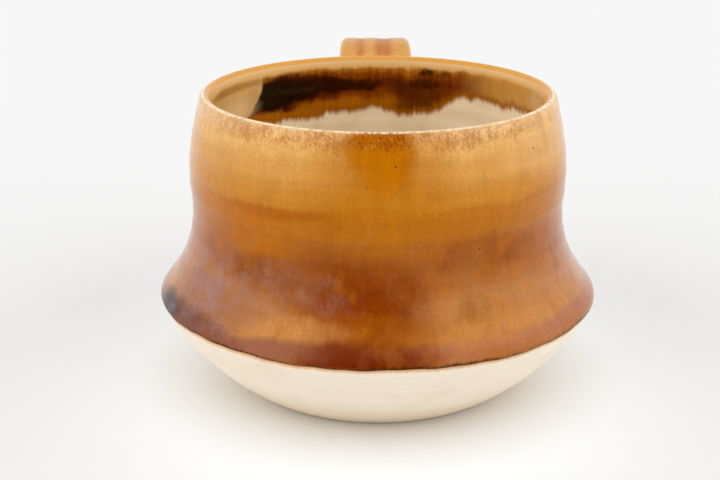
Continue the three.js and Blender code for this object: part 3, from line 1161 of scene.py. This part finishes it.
@dataclass
class MugWall:
    """The thrown wall. Its skin runs from the edge of the base up the outside, over the lip and inside."""

    foot_radius: float = 35.8
    foot_slope: float = 30.0
    belly_radius: float = 59.0
    belly_height: float = 25.5
    waist_radius: float = 49.4
    waist_height: float = 50.0
    shoulder_radius: float = 49.95
    shoulder_height: float = 60.0
    lip_radius: float = 45.8
    lip_height: float = 79.5
    lip_round: float = 1.0
    lip_lean: float = 14.5
    inner_lean: float = 3.0
    floor_thickness: float = 6.0
    floor_radius: float = 25.8
    belly_wall: float = 5.0
    hollow_lift: float = 1.5
    waist_wall: float = 4.2
    shoulder_wall: float = 4.0
    # The line where the outside glaze stops, a little below the belly's widest place.
    glaze_drop: float = 0.7
    line_tilt: float = 0.35
    line_waves: tuple[Wave, ...] = (Wave(7, 0.18, 0.6), Wave(19, 0.108), Wave(43, 0.09, 1.1))
    # The spiral ridge, with how far from the lip, the foot and the middle it starts and is full.
    outer_ridge: float = 0.05
    inner_ridge: float = 0.1
    ridge_pitch: float = 6.0
    ridge_off_lip: tuple[float, float] = (3.0, 14.0)
    ridge_off_foot: tuple[float, float] = (2.0, 10.0)
    ridge_off_middle: tuple[float, float] = (1.0, 8.0)
    skin: Outline = field(init=False)
    crest: float = field(init=False)
    line: float = field(init=False)

    def __post_init__(self) -> None:
        """Draws the skin, and finds the lip's crest and the glaze line on it."""
        lip = Vector((self.lip_radius, self.lip_height - self.lip_round))
        over = Outline.arc(lip, self.lip_round, self.lip_lean, INWARDS + self.inner_lean)
        outside = (
            Station(self.foot_radius, 0.0, self.foot_slope, after=15.0),
            Station(self.belly_radius, self.belly_height, UP, before=3.3, after=1.6),
            Station(self.waist_radius, self.waist_height, UP, before=15.9, after=3.0),
            Station(self.shoulder_radius, self.shoulder_height, UP, before=6.5, after=5.0),
            Station(*over[0], UP + self.lip_lean, before=9.0),
        )
        inner_shoulder = self.shoulder_radius - self.shoulder_wall
        inner_waist = self.waist_radius - self.waist_wall
        inner_belly = self.belly_radius - self.belly_wall
        inside = (
            Station(*over[-1], DOWN + self.inner_lean, after=9.0),
            Station(inner_shoulder, self.shoulder_height, DOWN, before=5.0, after=6.5),
            Station(inner_waist, self.waist_height, DOWN, before=3.0, after=15.9),
            Station(inner_belly, self.belly_height + self.hollow_lift, DOWN, before=5.0, after=8.0),
            Station(self.floor_radius, self.floor_thickness, INWARDS, before=16.0),
        )
        middle = Vector((0.0, self.floor_thickness))
        self.skin = Outline([*Outline.curve(outside), *over, *Outline.curve(inside), middle])
        self.crest = self.skin.nearest(Vector((self.lip_radius, self.lip_height)))
        self.line = self.skin.nearest(Vector((self.belly_radius, self.belly_height))) - self.glaze_drop

    def glaze_line(self, azimuth: float) -> float:
        """Gives where the outside glaze stops along the skin at an azimuth: tilted and a little wavy."""
        waves = sum(wave.at(azimuth) for wave in self.line_waves)
        return self.line - self.line_tilt * math.sin(math.radians(azimuth)) + waves

    def ridge(self, along: float, azimuth: float) -> float:
        """Finds the spiral ridge left by the potter's fingers.

        Args:
            along: Distance along the skin, in millimetres.
            azimuth: Azimuth in degrees.

        Returns:
            The ridge's height there: 0 at its crests and less between them.
        """
        depth = self.inner_ridge if along > self.crest else self.outer_ridge
        depth *= ease(abs(along - self.crest), *self.ridge_off_lip)
        depth *= ease(along, *self.ridge_off_foot)
        depth *= ease(self.skin.length - along, *self.ridge_off_middle)
        return depth * (math.sin(2 * math.pi * along / self.ridge_pitch + math.radians(azimuth)) - 1.0)

    def place(self, along: float, lift: float, azimuth: float) -> Vector:
        """Finds a point on or off the skin.

        Args:
            along: Distance along the skin, in millimetres.
            lift: Distance off the skin, in millimetres.
            azimuth: Azimuth in degrees.

        Returns:
            The point, in metres.
        """
        point, normal = self.skin.at(along)
        flat = point + normal * (lift + self.ridge(along, azimuth))
        turn = math.radians(azimuth)
        return Vector((flat.x * math.sin(turn), -flat.x * math.cos(turn), flat.y)) * MM


@dataclass
class Piece:
    """A piece of the mug that takes the place of a CAD node."""

    wall: MugWall
    name: str
    node: str
    slot: str

    def shape(self) -> bmesh.types.BMesh:
        """Makes the piece's mesh."""
        raise NotImplementedError

    def build(self, material: bpy.types.Material) -> bpy.types.Object:
        """Makes the piece, dresses it and puts it in the frame.

        Args:
            material: The piece's finish.

        Returns:
            The new object, riding on the mug's body.
        """
        mesh = self.shape()
        for face in mesh.faces:
            face.smooth = True
        data = bpy.data.meshes.new(self.name)
        mesh.to_mesh(data)
        mesh.free()
        data.materials.append(material)
        piece = bpy.data.objects.new(self.name, data)
        bpy.context.scene.collection.objects.link(piece)
        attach(piece, BODY)
        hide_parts(self.node)
        return piece


@dataclass(frozen=True)
class Spot:
    """A corner of a turned profile: how far along the skin it lies, and how far off it."""

    along: float
    lift: float


@dataclass
class TurnedPiece(Piece):
    """A clay or glaze piece whose profile is turned about the mug's axis."""

    closed: bool = True

    def profile(self) -> list[Spot]:
        """Lists the profile's corners."""
        raise NotImplementedError

    def slide(self, along: float, azimuth: float) -> float:
        """Gives how far the piece is drawn along the skin at a place."""
        return 0.0

    def notes(self, along: float, azimuth: float) -> dict[str, float]:
        """Gives the numbers that the finish reads at a place, by name."""
        return {}

    def refine(self, mesh: bmesh.types.BMesh) -> None:
        """Gives a piece the chance to work on its turned mesh."""

    def shape(self) -> bmesh.types.BMesh:
        """Turns the profile about the axis.

        Returns:
            The piece's mesh.
        """
        mesh = bmesh.new()
        alongs = mesh.verts.layers.float.new("along")
        lifts = mesh.verts.layers.float.new("lift")
        corners = []
        for spot in self.profile():
            corner = mesh.verts.new(self.wall.place(spot.along, spot.lift, 0.0))
            corner[alongs] = spot.along
            corner[lifts] = spot.lift
            corners.append(corner)
        following = corners[1:] + (corners[:1] if self.closed else [])
        edges = [mesh.edges.new(pair) for pair in zip(corners, following)]
        bmesh.ops.spin(
            mesh, geom=[*corners, *edges], cent=(0, 0, 0), axis=(0, 0, 1), angle=2 * math.pi,
            steps=TURN_STEPS, use_merge=True)
        self.settle(mesh, alongs, lifts)
        bmesh.ops.remove_doubles(mesh, verts=mesh.verts, dist=SAME_VERTEX_M)
        bmesh.ops.recalc_face_normals(mesh, faces=mesh.faces)
        self.refine(mesh)
        return mesh

    def settle(self, mesh: bmesh.types.BMesh, alongs: bmesh.types.BMLayerItem,
               lifts: bmesh.types.BMLayerItem) -> None:
        """Sets every turned vertex on the uneven wall, and notes there what the finish reads.

        Args:
            mesh: The turned mesh.
            alongs: Layer of each vertex's distance along the skin.
            lifts: Layer of each vertex's distance off the skin.
        """
        layers: dict[str, bmesh.types.BMLayerItem] = {}
        for name in self.notes(0.0, 0.0):
            layers[name] = mesh.verts.layers.float.new(name)
        for vertex in mesh.verts:
            azimuth = math.degrees(math.atan2(vertex.co.x, -vertex.co.y))
            along = vertex[alongs]
            vertex.co = self.wall.place(along + self.slide(along, azimuth), vertex[lifts], azimuth)
            for name, value in self.notes(along, azimuth).items():
                vertex[layers[name]] = value


@dataclass
class ThrownBody(TurnedPiece):
    """The clay: a flat base, the bowl, the wall, the lip and the floor inside."""

    name: str = "clay_body"
    node: str = "thrown_body"
    slot: str = "bare_clay"
    closed: bool = False
    foot_bevel: float = 0.8
    bevel_steps: int = 3
    bevel_profile: float = 0.5
    base_rest: float = 7.0
    base_hollow: float = 0.5
    hollow_slope: float = 3.0
    # The corners of the profile lie closer together round the glaze line and the lip.
    foot_spacing: float = 0.9
    wall_spacing: float = 1.2
    fine_spacing: float = 0.25
    below_line: float = 2.0
    above_line: float = 3.0
    beside_crest: float = 3.0

    def profile(self) -> list[Spot]:
        """Lists the corners from the edge of the base, over the lip, to the middle of the floor.

        Returns:
            The corners.
        """
        wall = self.wall
        end = wall.skin.length
        alongs = spread(
            0.0,
            (wall.line - self.below_line, self.foot_spacing),
            (wall.line + self.above_line, self.fine_spacing),
            (wall.crest - self.beside_crest, self.wall_spacing),
            (wall.crest + self.beside_crest, self.fine_spacing),
            (end, self.wall_spacing),
        )
        return [Spot(along, 0.0) for along in (*alongs, end)]

    def notes(self, along: float, azimuth: float) -> dict[str, float]:
        """Gives how far below the glaze line a place is."""
        return {"below_line": self.wall.glaze_line(azimuth) - along}

    def refine(self, mesh: bmesh.types.BMesh) -> None:
        """Closes the base with a shallow trimmed hollow and rounds the edge that stands on the table.

        Args:
            mesh: The turned clay, open at the base.
        """
        rim = [edge for edge in mesh.edges if edge.is_boundary]
        base = bmesh.ops.edgeloop_fill(mesh, edges=rim)["faces"]
        bmesh.ops.inset_individual(mesh, faces=base, thickness=self.base_rest * MM, use_even_offset=True)
        bmesh.ops.inset_individual(
            mesh, faces=base, thickness=self.hollow_slope * MM, depth=-self.base_hollow * MM)
        bmesh.ops.poke(mesh, faces=base)
        bmesh.ops.bevel(
            mesh, geom=rim, offset=self.foot_bevel * MM, affect="EDGES", segments=self.bevel_steps,
            profile=self.bevel_profile, material=-1)
        bmesh.ops.recalc_face_normals(mesh, faces=mesh.faces)


@dataclass
class OuterCoat(TurnedPiece):
    """The amber coat from the glaze line up the outside and just over the lip."""

    name: str = "outer_coat"
    node: str = "outer_glaze"
    slot: str = "amber_glaze"
    thickness: float = 0.42
    edge_lift: float = 0.03
    back_lift: float = 0.015
    roll: float = 0.9
    # Past the crest of the lip the coat thins to a share of its thickness.
    full_past_crest: float = 0.1
    end_past_crest: float = 1.2
    end_share: float = 0.25
    slide_reach: float = 12.0
    roll_spacing: float = 0.09
    wall_spacing: float = 0.7
    lip_spacing: float = 0.15
    back_spacing: float = 2.0
    below_crest: float = 3.0

    def lift(self, along: float) -> float:
        """Finds the coat's thickness: a rounded edge at the glaze line, thin past the crest of the lip.

        Args:
            along: Distance along the skin, in millimetres.

        Returns:
            How far the coat's face stands off the clay, in millimetres.
        """
        share = min((along - self.wall.line) / self.roll, 1.0)
        rounded = math.sqrt(1 - (1 - share) ** 2)
        full = ease(along - self.wall.crest, self.end_past_crest, self.full_past_crest)
        kept = self.end_share + (1 - self.end_share) * full
        return self.edge_lift + (self.thickness - self.edge_lift) * rounded * kept

    def profile(self) -> list[Spot]:
        """Lists the corners up the coat's face and back down its underside.

        Returns:
            The corners.
        """
        start = self.wall.line
        end = self.wall.crest + self.end_past_crest
        alongs = spread(
            start,
            (start + self.roll, self.roll_spacing),
            (self.wall.crest - self.below_crest, self.wall_spacing),
            (end, self.lip_spacing),
        )
        face = [Spot(along, self.lift(along)) for along in alongs]
        back = [Spot(along, self.back_lift) for along in spread(end, (start, self.back_spacing))]
        return face + back

    def slide(self, along: float, azimuth: float) -> float:
        """Draws the lower edge to the wavy glaze line."""
        share = ease(along - self.wall.line, self.slide_reach, 0.0)
        return (self.wall.glaze_line(azimuth) - self.wall.line) * share

    def notes(self, along: float, azimuth: float) -> dict[str, float]:
        """Gives how far above the glaze line a place is."""
        return {"above_line": along - self.wall.line}


@dataclass
class LinerCoat(TurnedPiece):
    """The pale coat inside, from under the lip to the middle of the floor."""

    name: str = "liner_coat"
    node: str = "liner_glaze"
    slot: str = "cream_liner"
    closed: bool = False
    thickness: float = 0.33
    back_lift: float = 0.02
    below_crest: float = 2.2
    feather: tuple[float, float] = (-0.5, 2.0)
    spacing: float = 1.0

    def profile(self) -> list[Spot]:
        """Lists the corners from the middle of the floor up the underside, and down the face again.

        Returns:
            The corners.
        """
        start = self.wall.crest + self.below_crest
        end = self.wall.skin.length
        alongs = [*spread(start, (end, self.spacing)), end]
        face = [Spot(along, self.thickness * ease(along - start, *self.feather)) for along in alongs]
        back = [Spot(along, self.back_lift) for along in alongs[::2]]
        return back[::-1] + face


@dataclass
class RimCoat(TurnedPiece):
    """The overlap inside the lip, ending in runs that feather out over the liner."""

    name: str = "rim_coat"
    node: str = "rim_glaze"
    slot: str = "dark_run_glaze"
    # Where the runs end: a band all round, deeper at a wide swell and a narrow lobe, with drips.
    band: float = 11.0
    swell: float = 6.6
    swell_azimuth: float = -145.0
    swell_reach: tuple[float, float] = (80.0, 12.0)
    lobe: float = 3.8
    lobe_azimuth: float = 163.0
    lobe_reach: tuple[float, float] = (18.0, 4.0)
    drips: tuple[Wave, ...] = (Wave(9, 0.4), Wave(23, 0.3, 1.0), Wave(41, 0.2))
    # How far the face stands off the clay at its edge, on the crest, on the liner and at its end.
    edge_lift: float = 0.2
    crest_lift: float = 0.42
    thickness: float = 0.78
    end_lift: float = 0.3
    back_lift: float = 0.05
    # Distances down from the crest.
    start: float = -0.9
    onto_liner: tuple[float, float] = (0.5, 4.0)
    feather: tuple[float, float] = (7.0, 21.0)
    end: float = 21.0
    fine_end: float = 3.0
    lip_spacing: float = 0.15
    wall_spacing: float = 0.5
    back_spacing: float = 1.0

    def fringe(self, azimuth: float) -> float:
        """Finds where the runs end.

        Args:
            azimuth: Azimuth in degrees.

        Returns:
            How far below the crest they end there, in millimetres.
        """
        swell = self.swell * ease(angle_off(azimuth, self.swell_azimuth), *self.swell_reach)
        lobe = self.lobe * ease(angle_off(azimuth, self.lobe_azimuth), *self.lobe_reach)
        drips = sum(drip.at(azimuth) for drip in self.drips)
        return self.band + swell + lobe + drips

    def lift(self, down: float) -> float:
        """Finds the coat's face: risen over the crest, thick on the liner, thin again past the fringe.

        Args:
            down: Distance down from the crest, in millimetres.

        Returns:
            How far the face stands off the clay, in millimetres.
        """
        over = (self.crest_lift - self.edge_lift) * ease(down, self.start, 0.0)
        on_liner = (self.thickness - self.crest_lift) * ease(down, *self.onto_liner)
        feathered = (self.thickness - self.end_lift) * ease(down, *self.feather)
        return self.edge_lift + over + on_liner - feathered

    def profile(self) -> list[Spot]:
        """Lists the corners down the coat's face and back up its underside.

        Returns:
            The corners.
        """
        crest = self.wall.crest
        downs = spread(self.start, (self.fine_end, self.lip_spacing), (self.end, self.wall_spacing))
        face = [Spot(crest + down, self.lift(down)) for down in (*downs, self.end)]
        ups = spread(self.end - self.back_spacing, (self.start, self.back_spacing))
        return face + [Spot(crest + up, self.back_lift) for up in ups]

    def notes(self, along: float, azimuth: float) -> dict[str, float]:
        """Gives how far past the fringe of the runs a place is."""
        return {"past_fringe": along - self.wall.crest - self.fringe(azimuth)}


@dataclass(frozen=True)
class Groove:
    """A pulled groove along the strap: how far it lies off the middle, its half width and its depth."""

    offset: float
    half_width: float
    depth: float

    def at(self, across: float) -> float:
        """Gives the groove's depth at a distance across the strap."""
        share = min(abs(across - self.offset) / self.half_width, 1.0)
        return self.depth * math.cos(share * math.pi / 2) ** 2


@dataclass
class StrapHandle(Piece):
    """The pulled strap, coated in glaze, with a fillet where each end meets the wall."""

    name: str = "strap_glaze"
    node: str = "handle_glaze"
    slot: str = "amber_handle_glaze"
    root_depth: float = 6.0
    upper_root_height: float = 64.9
    upper_root_slope: float = 42.0
    crest_out: float = 20.0
    crest_height: float = 76.7
    grip_out: float = 33.8
    grip_height: float = 59.8
    lower_root_height: float = 35.0
    lower_root_slope: float = 13.0
    width_upper: float = 22.0
    width_lower: float = 17.5
    thickness: float = 7.0
    edge_round: float = 2.4
    coat: float = 0.42
    root_flare: float = 3.0
    root_swell: float = 2.0
    flare_length: float = 14.0
    fillet: float = 4.0
    bury: float = 0.3
    grooves: tuple[Groove, ...] = (Groove(-4.7, 2.7, 0.16), Groove(2.4, 4.2, 0.26))
    rings: int = 130
    corners: int = 88
    # The search for the wall at a height, and for where the strap comes out of it.
    below_lip: float = 3.0
    halvings: int = 24
    least_facing: float = 0.3
    search_step: float = 0.05
    course: Outline = field(init=False)

    def __post_init__(self) -> None:
        """Draws the strap's centre line in the plane of the axis and +Y."""
        upper_root = self.clay(self.upper_root_height)[0].x - self.root_depth
        lower_root = self.clay(self.lower_root_height)[0].x - self.root_depth
        lower_heading = INWARDS + self.lower_root_slope
        crest = self.wall.shoulder_radius + self.crest_out
        grip = self.wall.shoulder_radius + self.grip_out
        self.course = Outline(Outline.curve((
            Station(upper_root, self.upper_root_height, self.upper_root_slope, after=13.0),
            Station(crest, self.crest_height, 0.0, before=8.0, after=8.0),
            Station(grip, self.grip_height, DOWN, before=9.0, after=15.0),
            Station(lower_root, self.lower_root_height, lower_heading, before=18.0),
        )))

    def clay(self, height: float) -> tuple[Vector, Vector]:
        """Finds the outside of the clay wall at a height.

        Args:
            height: Height in millimetres.

        Returns:
            The place, by radius and height, and the wall's outward normal there.
        """
        skin = self.wall.skin
        low = self.wall.line
        high = self.wall.crest - self.below_lip
        for _ in range(self.halvings):
            middle = (low + high) / 2
            if skin.at(middle)[0].y < height:
                low = middle
            else:
                high = middle
        return skin.at(low)

    def section(self, turn: float, along: float) -> tuple[Vector, Vector, float]:
        """Finds a corner of the strap's section, a rectangle with rounded edges.

        Args:
            turn: Share of the way round the section, from its right edge over its outer face.
            along: Distance along the course.

        Returns:
            The corner across the strap and out of its outer face, the direction out of the section there,
            and how deep in a groove it is, from 0 to 1.
        """
        share = along / self.course.length
        end = min(along, self.course.length - along)
        flare = max(1 - end / self.flare_length, 0.0) ** 2
        half_width = (self.width_upper + (self.width_lower - self.width_upper) * share) / 2
        half_width += self.root_flare / 2 * flare + self.coat
        half_thick = self.thickness / 2 + self.root_swell / 2 * flare + self.coat
        side = half_thick - self.edge_round
        arc = self.edge_round * math.pi / 2
        face = half_width - self.edge_round
        quarter = int(turn * 4)
        past = (turn * 4 - quarter) * (side + arc + face)
        from_side = past if quarter in (0, 2) else side + arc + face - past
        angle = min(max((from_side - side) / self.edge_round, 0.0), math.pi / 2)
        out = Vector((math.cos(angle), math.sin(angle)))
        inner = Vector((face - max(from_side - side - arc, 0.0), min(from_side, side)))
        corner = inner + out * self.edge_round
        across = 1 if quarter in (0, 3) else -1
        up = 1 if quarter in (0, 1) else -1
        corner = Vector((corner.x * across, corner.y * up))
        depth = sum(groove.at(corner.x) for groove in self.grooves) if up > 0 else 0.0
        deepest = max(groove.depth for groove in self.grooves)
        return corner - Vector((0.0, depth)), Vector((out.x * across, out.y * up)), depth / deepest

    def corner(self, turn: float, along: float) -> tuple[Vector, Vector, float]:
        """Finds a point on the strap before its fillets.

        Args:
            turn: Share of the way round the section.
            along: Distance along the course.

        Returns:
            The point in millimetres, the direction out of the strap there, and how deep in a groove it is.
        """
        centre, inner = self.course.at(along)
        corner, out, depth = self.section(turn, along)
        flat = centre - inner * corner.y
        point = Vector((corner.x, flat.x, flat.y))
        return point, Vector((out.x, -inner.x * out.y, -inner.y * out.y)), depth

    def off_wall(self, point: Vector) -> tuple[float, Vector]:
        """Finds how far a point stands off the glazed wall.

        Args:
            point: The point, in millimetres.

        Returns:
            The distance, less than 0 inside the wall, and the wall's outward normal.
        """
        place, normal = self.clay(point.z)
        radius = place.x + self.coat / max(normal.x, self.least_facing)
        reach = math.hypot(point.x, point.y)
        outward = Vector((normal.x * point.x / reach, normal.x * point.y / reach, normal.y))
        return (reach - radius) * normal.x, outward

    def buried(self, turn: float, start: float, step: float) -> float:
        """Finds where a line along the strap comes out of the wall.

        Args:
            turn: The line's share of the way round the section.
            start: Distance along the course to look from.
            step: How far to look at a time, and which way.

        Returns:
            The distance along the course where the line is just under the glazed wall.
        """
        along = start
        while self.off_wall(self.corner(turn, along)[0])[0] < -self.bury:
            along += step
        return along

    def filleted(self, turn: float, along: float) -> tuple[Vector, float]:
        """Finds a point on the strap with its fillets.

        Args:
            turn: Share of the way round the section.
            along: Distance along the course.

        Returns:
            The point in metres, and how deep in a groove it is.
        """
        point, out, depth = self.corner(turn, along)
        distance, normal = self.off_wall(point)
        near = max(1 - max(distance, 0.0) / self.fillet, 0.0)
        sideways = (out - normal * out.dot(normal)).normalized()
        point = point + sideways * self.fillet * (1 - math.sqrt(1 - near * near))
        return point * MM, depth * (1 - near)

    def shape(self) -> bmesh.types.BMesh:
        """Extrudes the strap ring by ring from the upper root to the lower one.

        Returns:
            The strap's mesh.
        """
        turns = [i / self.corners for i in range(self.corners)]
        starts = [self.buried(turn, 0.0, self.search_step) for turn in turns]
        ends = [self.buried(turn, self.course.length, -self.search_step) for turn in turns]
        mesh = bmesh.new()
        grooves = mesh.verts.layers.float.new("groove")
        ring = [mesh.verts.new() for _ in turns]
        edges = [mesh.edges.new((ring[i - 1], ring[i])) for i in range(self.corners)]
        bmesh.ops.contextual_create(mesh, geom=edges)
        for step in range(self.rings + 1):
            share = (1 - math.cos(math.pi * step / self.rings)) / 2
            for vertex, turn, start, end in zip(ring, turns, starts, ends):
                vertex.co, vertex[grooves] = self.filleted(turn, start + (end - start) * share)
            if step < self.rings:
                ring, edges = self.next_ring(mesh, ring, edges)
        bmesh.ops.contextual_create(mesh, geom=edges)
        bmesh.ops.recalc_face_normals(mesh, faces=mesh.faces)
        return mesh

    @staticmethod
    def next_ring(
            mesh: bmesh.types.BMesh, ring: list[bmesh.types.BMVert], edges: list[bmesh.types.BMEdge],
    ) -> tuple[list[bmesh.types.BMVert], list[bmesh.types.BMEdge]]:
        """Extrudes a ring of edges.

        Args:
            mesh: The strap's mesh.
            ring: The ring's vertices in order.
            edges: The ring's edges.

        Returns:
            The new ring's vertices in the same order, and its edges.
        """
        made = bmesh.ops.extrude_edge_only(mesh, edges=edges)["geom"]
        fresh = {item for item in made if isinstance(item, bmesh.types.BMVert)}
        following = []
        for vertex in ring:
            beyond = [edge.other_vert(vertex) for edge in vertex.link_edges]
            following.append(next(other for other in beyond if other in fresh))
        made_edges = [item for item in made if isinstance(item, bmesh.types.BMEdge)]
        return following, [edge for edge in made_edges if set(edge.verts) <= fresh]


@dataclass
class Studio:
    """A pale table in a white tent, with the camera in front and a little above."""

    camera_place: tuple[float, float, float] = (-4.74, -364.5, 160.7)
    camera_pitch: float = 71.38
    lens: float = 70.12
    sensor: float = 36.0
    # Half the table's width, in metres.
    table_half: float = 6.0
    # The tent's light: strong from the sides, weaker from above and behind, with a shaded opening in front.
    cloth: str = "ffffff"
    light_by_rise: Rise = Rise(0.35, 0.95, high=1.1, low=2.1)
    dim_behind: Rise = Rise(-0.1, 0.7, high=0.42, low=1.0)
    opening_share: float = 0.1
    opening_elevation: float = 15.0
    opening_core: float = 14.0
    opening_edge: float = 40.0

    def build(self) -> None:
        """Sets the view, the table, the tent and the camera."""
        bpy.context.scene.view_settings.view_transform = "Standard"
        self.set_table()
        self.set_tent()
        self.set_camera()

    def set_table(self) -> None:
        """Lays the pale table."""
        mesh = bmesh.new()
        bmesh.ops.create_grid(mesh, x_segments=1, y_segments=1, size=self.table_half)
        data = bpy.data.meshes.new("table")
        mesh.to_mesh(data)
        mesh.free()
        data.materials.append(PaleTable().material())
        table = bpy.data.objects.new("table", data)
        bpy.context.scene.collection.objects.link(table)

    def set_tent(self) -> None:
        """Lights the mug from a white tent with a shaded opening in front."""
        world = bpy.data.worlds.new("tent")
        bpy.context.scene.world = world
        bench = NodeBench(world)
        direction = bench.add("ShaderNodeTexCoord").outputs["Generated"]
        parts = bench.add("ShaderNodeSeparateXYZ", {0: direction})
        back = Signal(bench, parts.outputs["Y"])
        rise = Signal(bench, parts.outputs["Z"])
        elevation = math.radians(self.opening_elevation)
        middle = (0.0, -math.cos(elevation), math.sin(elevation))
        towards = bench.add("ShaderNodeVectorMath", {0: direction, 1: middle}, operation="DOT_PRODUCT")
        facing = Signal(bench, towards.outputs["Value"])
        edge = math.cos(math.radians(self.opening_edge))
        core = math.cos(math.radians(self.opening_core))
        opening = Rise(edge, core, high=self.opening_share, low=1.0)
        light = self.light_by_rise.of(rise) * self.dim_behind.of(back) * opening.of(facing)
        cloth = bench.add("ShaderNodeBackground", {"Color": paint(self.cloth), "Strength": light})
        bench.add("ShaderNodeOutputWorld", {"Surface": cloth.outputs[0]})

    def set_camera(self) -> None:
        """Puts the camera in front of the mug and a little above, looking down at it."""
        camera = bpy.data.cameras.new("portrait")
        camera.lens = self.lens
        camera.sensor_width = self.sensor
        holder = bpy.data.objects.new("portrait", camera)
        holder.location = Vector(self.camera_place) * MM
        holder.rotation_euler = (math.radians(self.camera_pitch), 0.0, 0.0)
        bpy.context.scene.collection.objects.link(holder)
        bpy.context.scene.camera = holder


def dress_node(node: str, material: bpy.types.Material) -> None:
    """Gives a CAD node that stays in the model its finish.

    Args:
        node: The node's name.
        material: Its finish.
    """
    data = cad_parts[node].data
    data.materials.clear()
    data.materials.append(material)


def main() -> None:
    """Builds the studio, the clay, the coats of glaze and the handle, and reports each piece."""
    logging.basicConfig(level=logging.INFO)
    Studio().build()
    wall = MugWall()
    clay = BareClay().material()
    slip = ClaySlip().material()
    pieces = (
        (ThrownBody(wall), clay),
        (OuterCoat(wall), AmberGlaze().material()),
        (LinerCoat(wall), CreamLiner().material()),
        (RimCoat(wall), DarkRunGlaze().material()),
        (StrapHandle(wall), HandleGlaze().material()),
    )
    for piece, material in pieces:
        made = piece.build(material)
        log.info("%s: %d faces", made.name, len(made.data.polygons))
    for node, material in (("handle_strap", clay), ("upper_slip_joint", slip), ("lower_slip_joint", slip)):
        dress_node(node, material)
        log.info("%s: dressed", node)


if __name__ == "__main__":
    main()
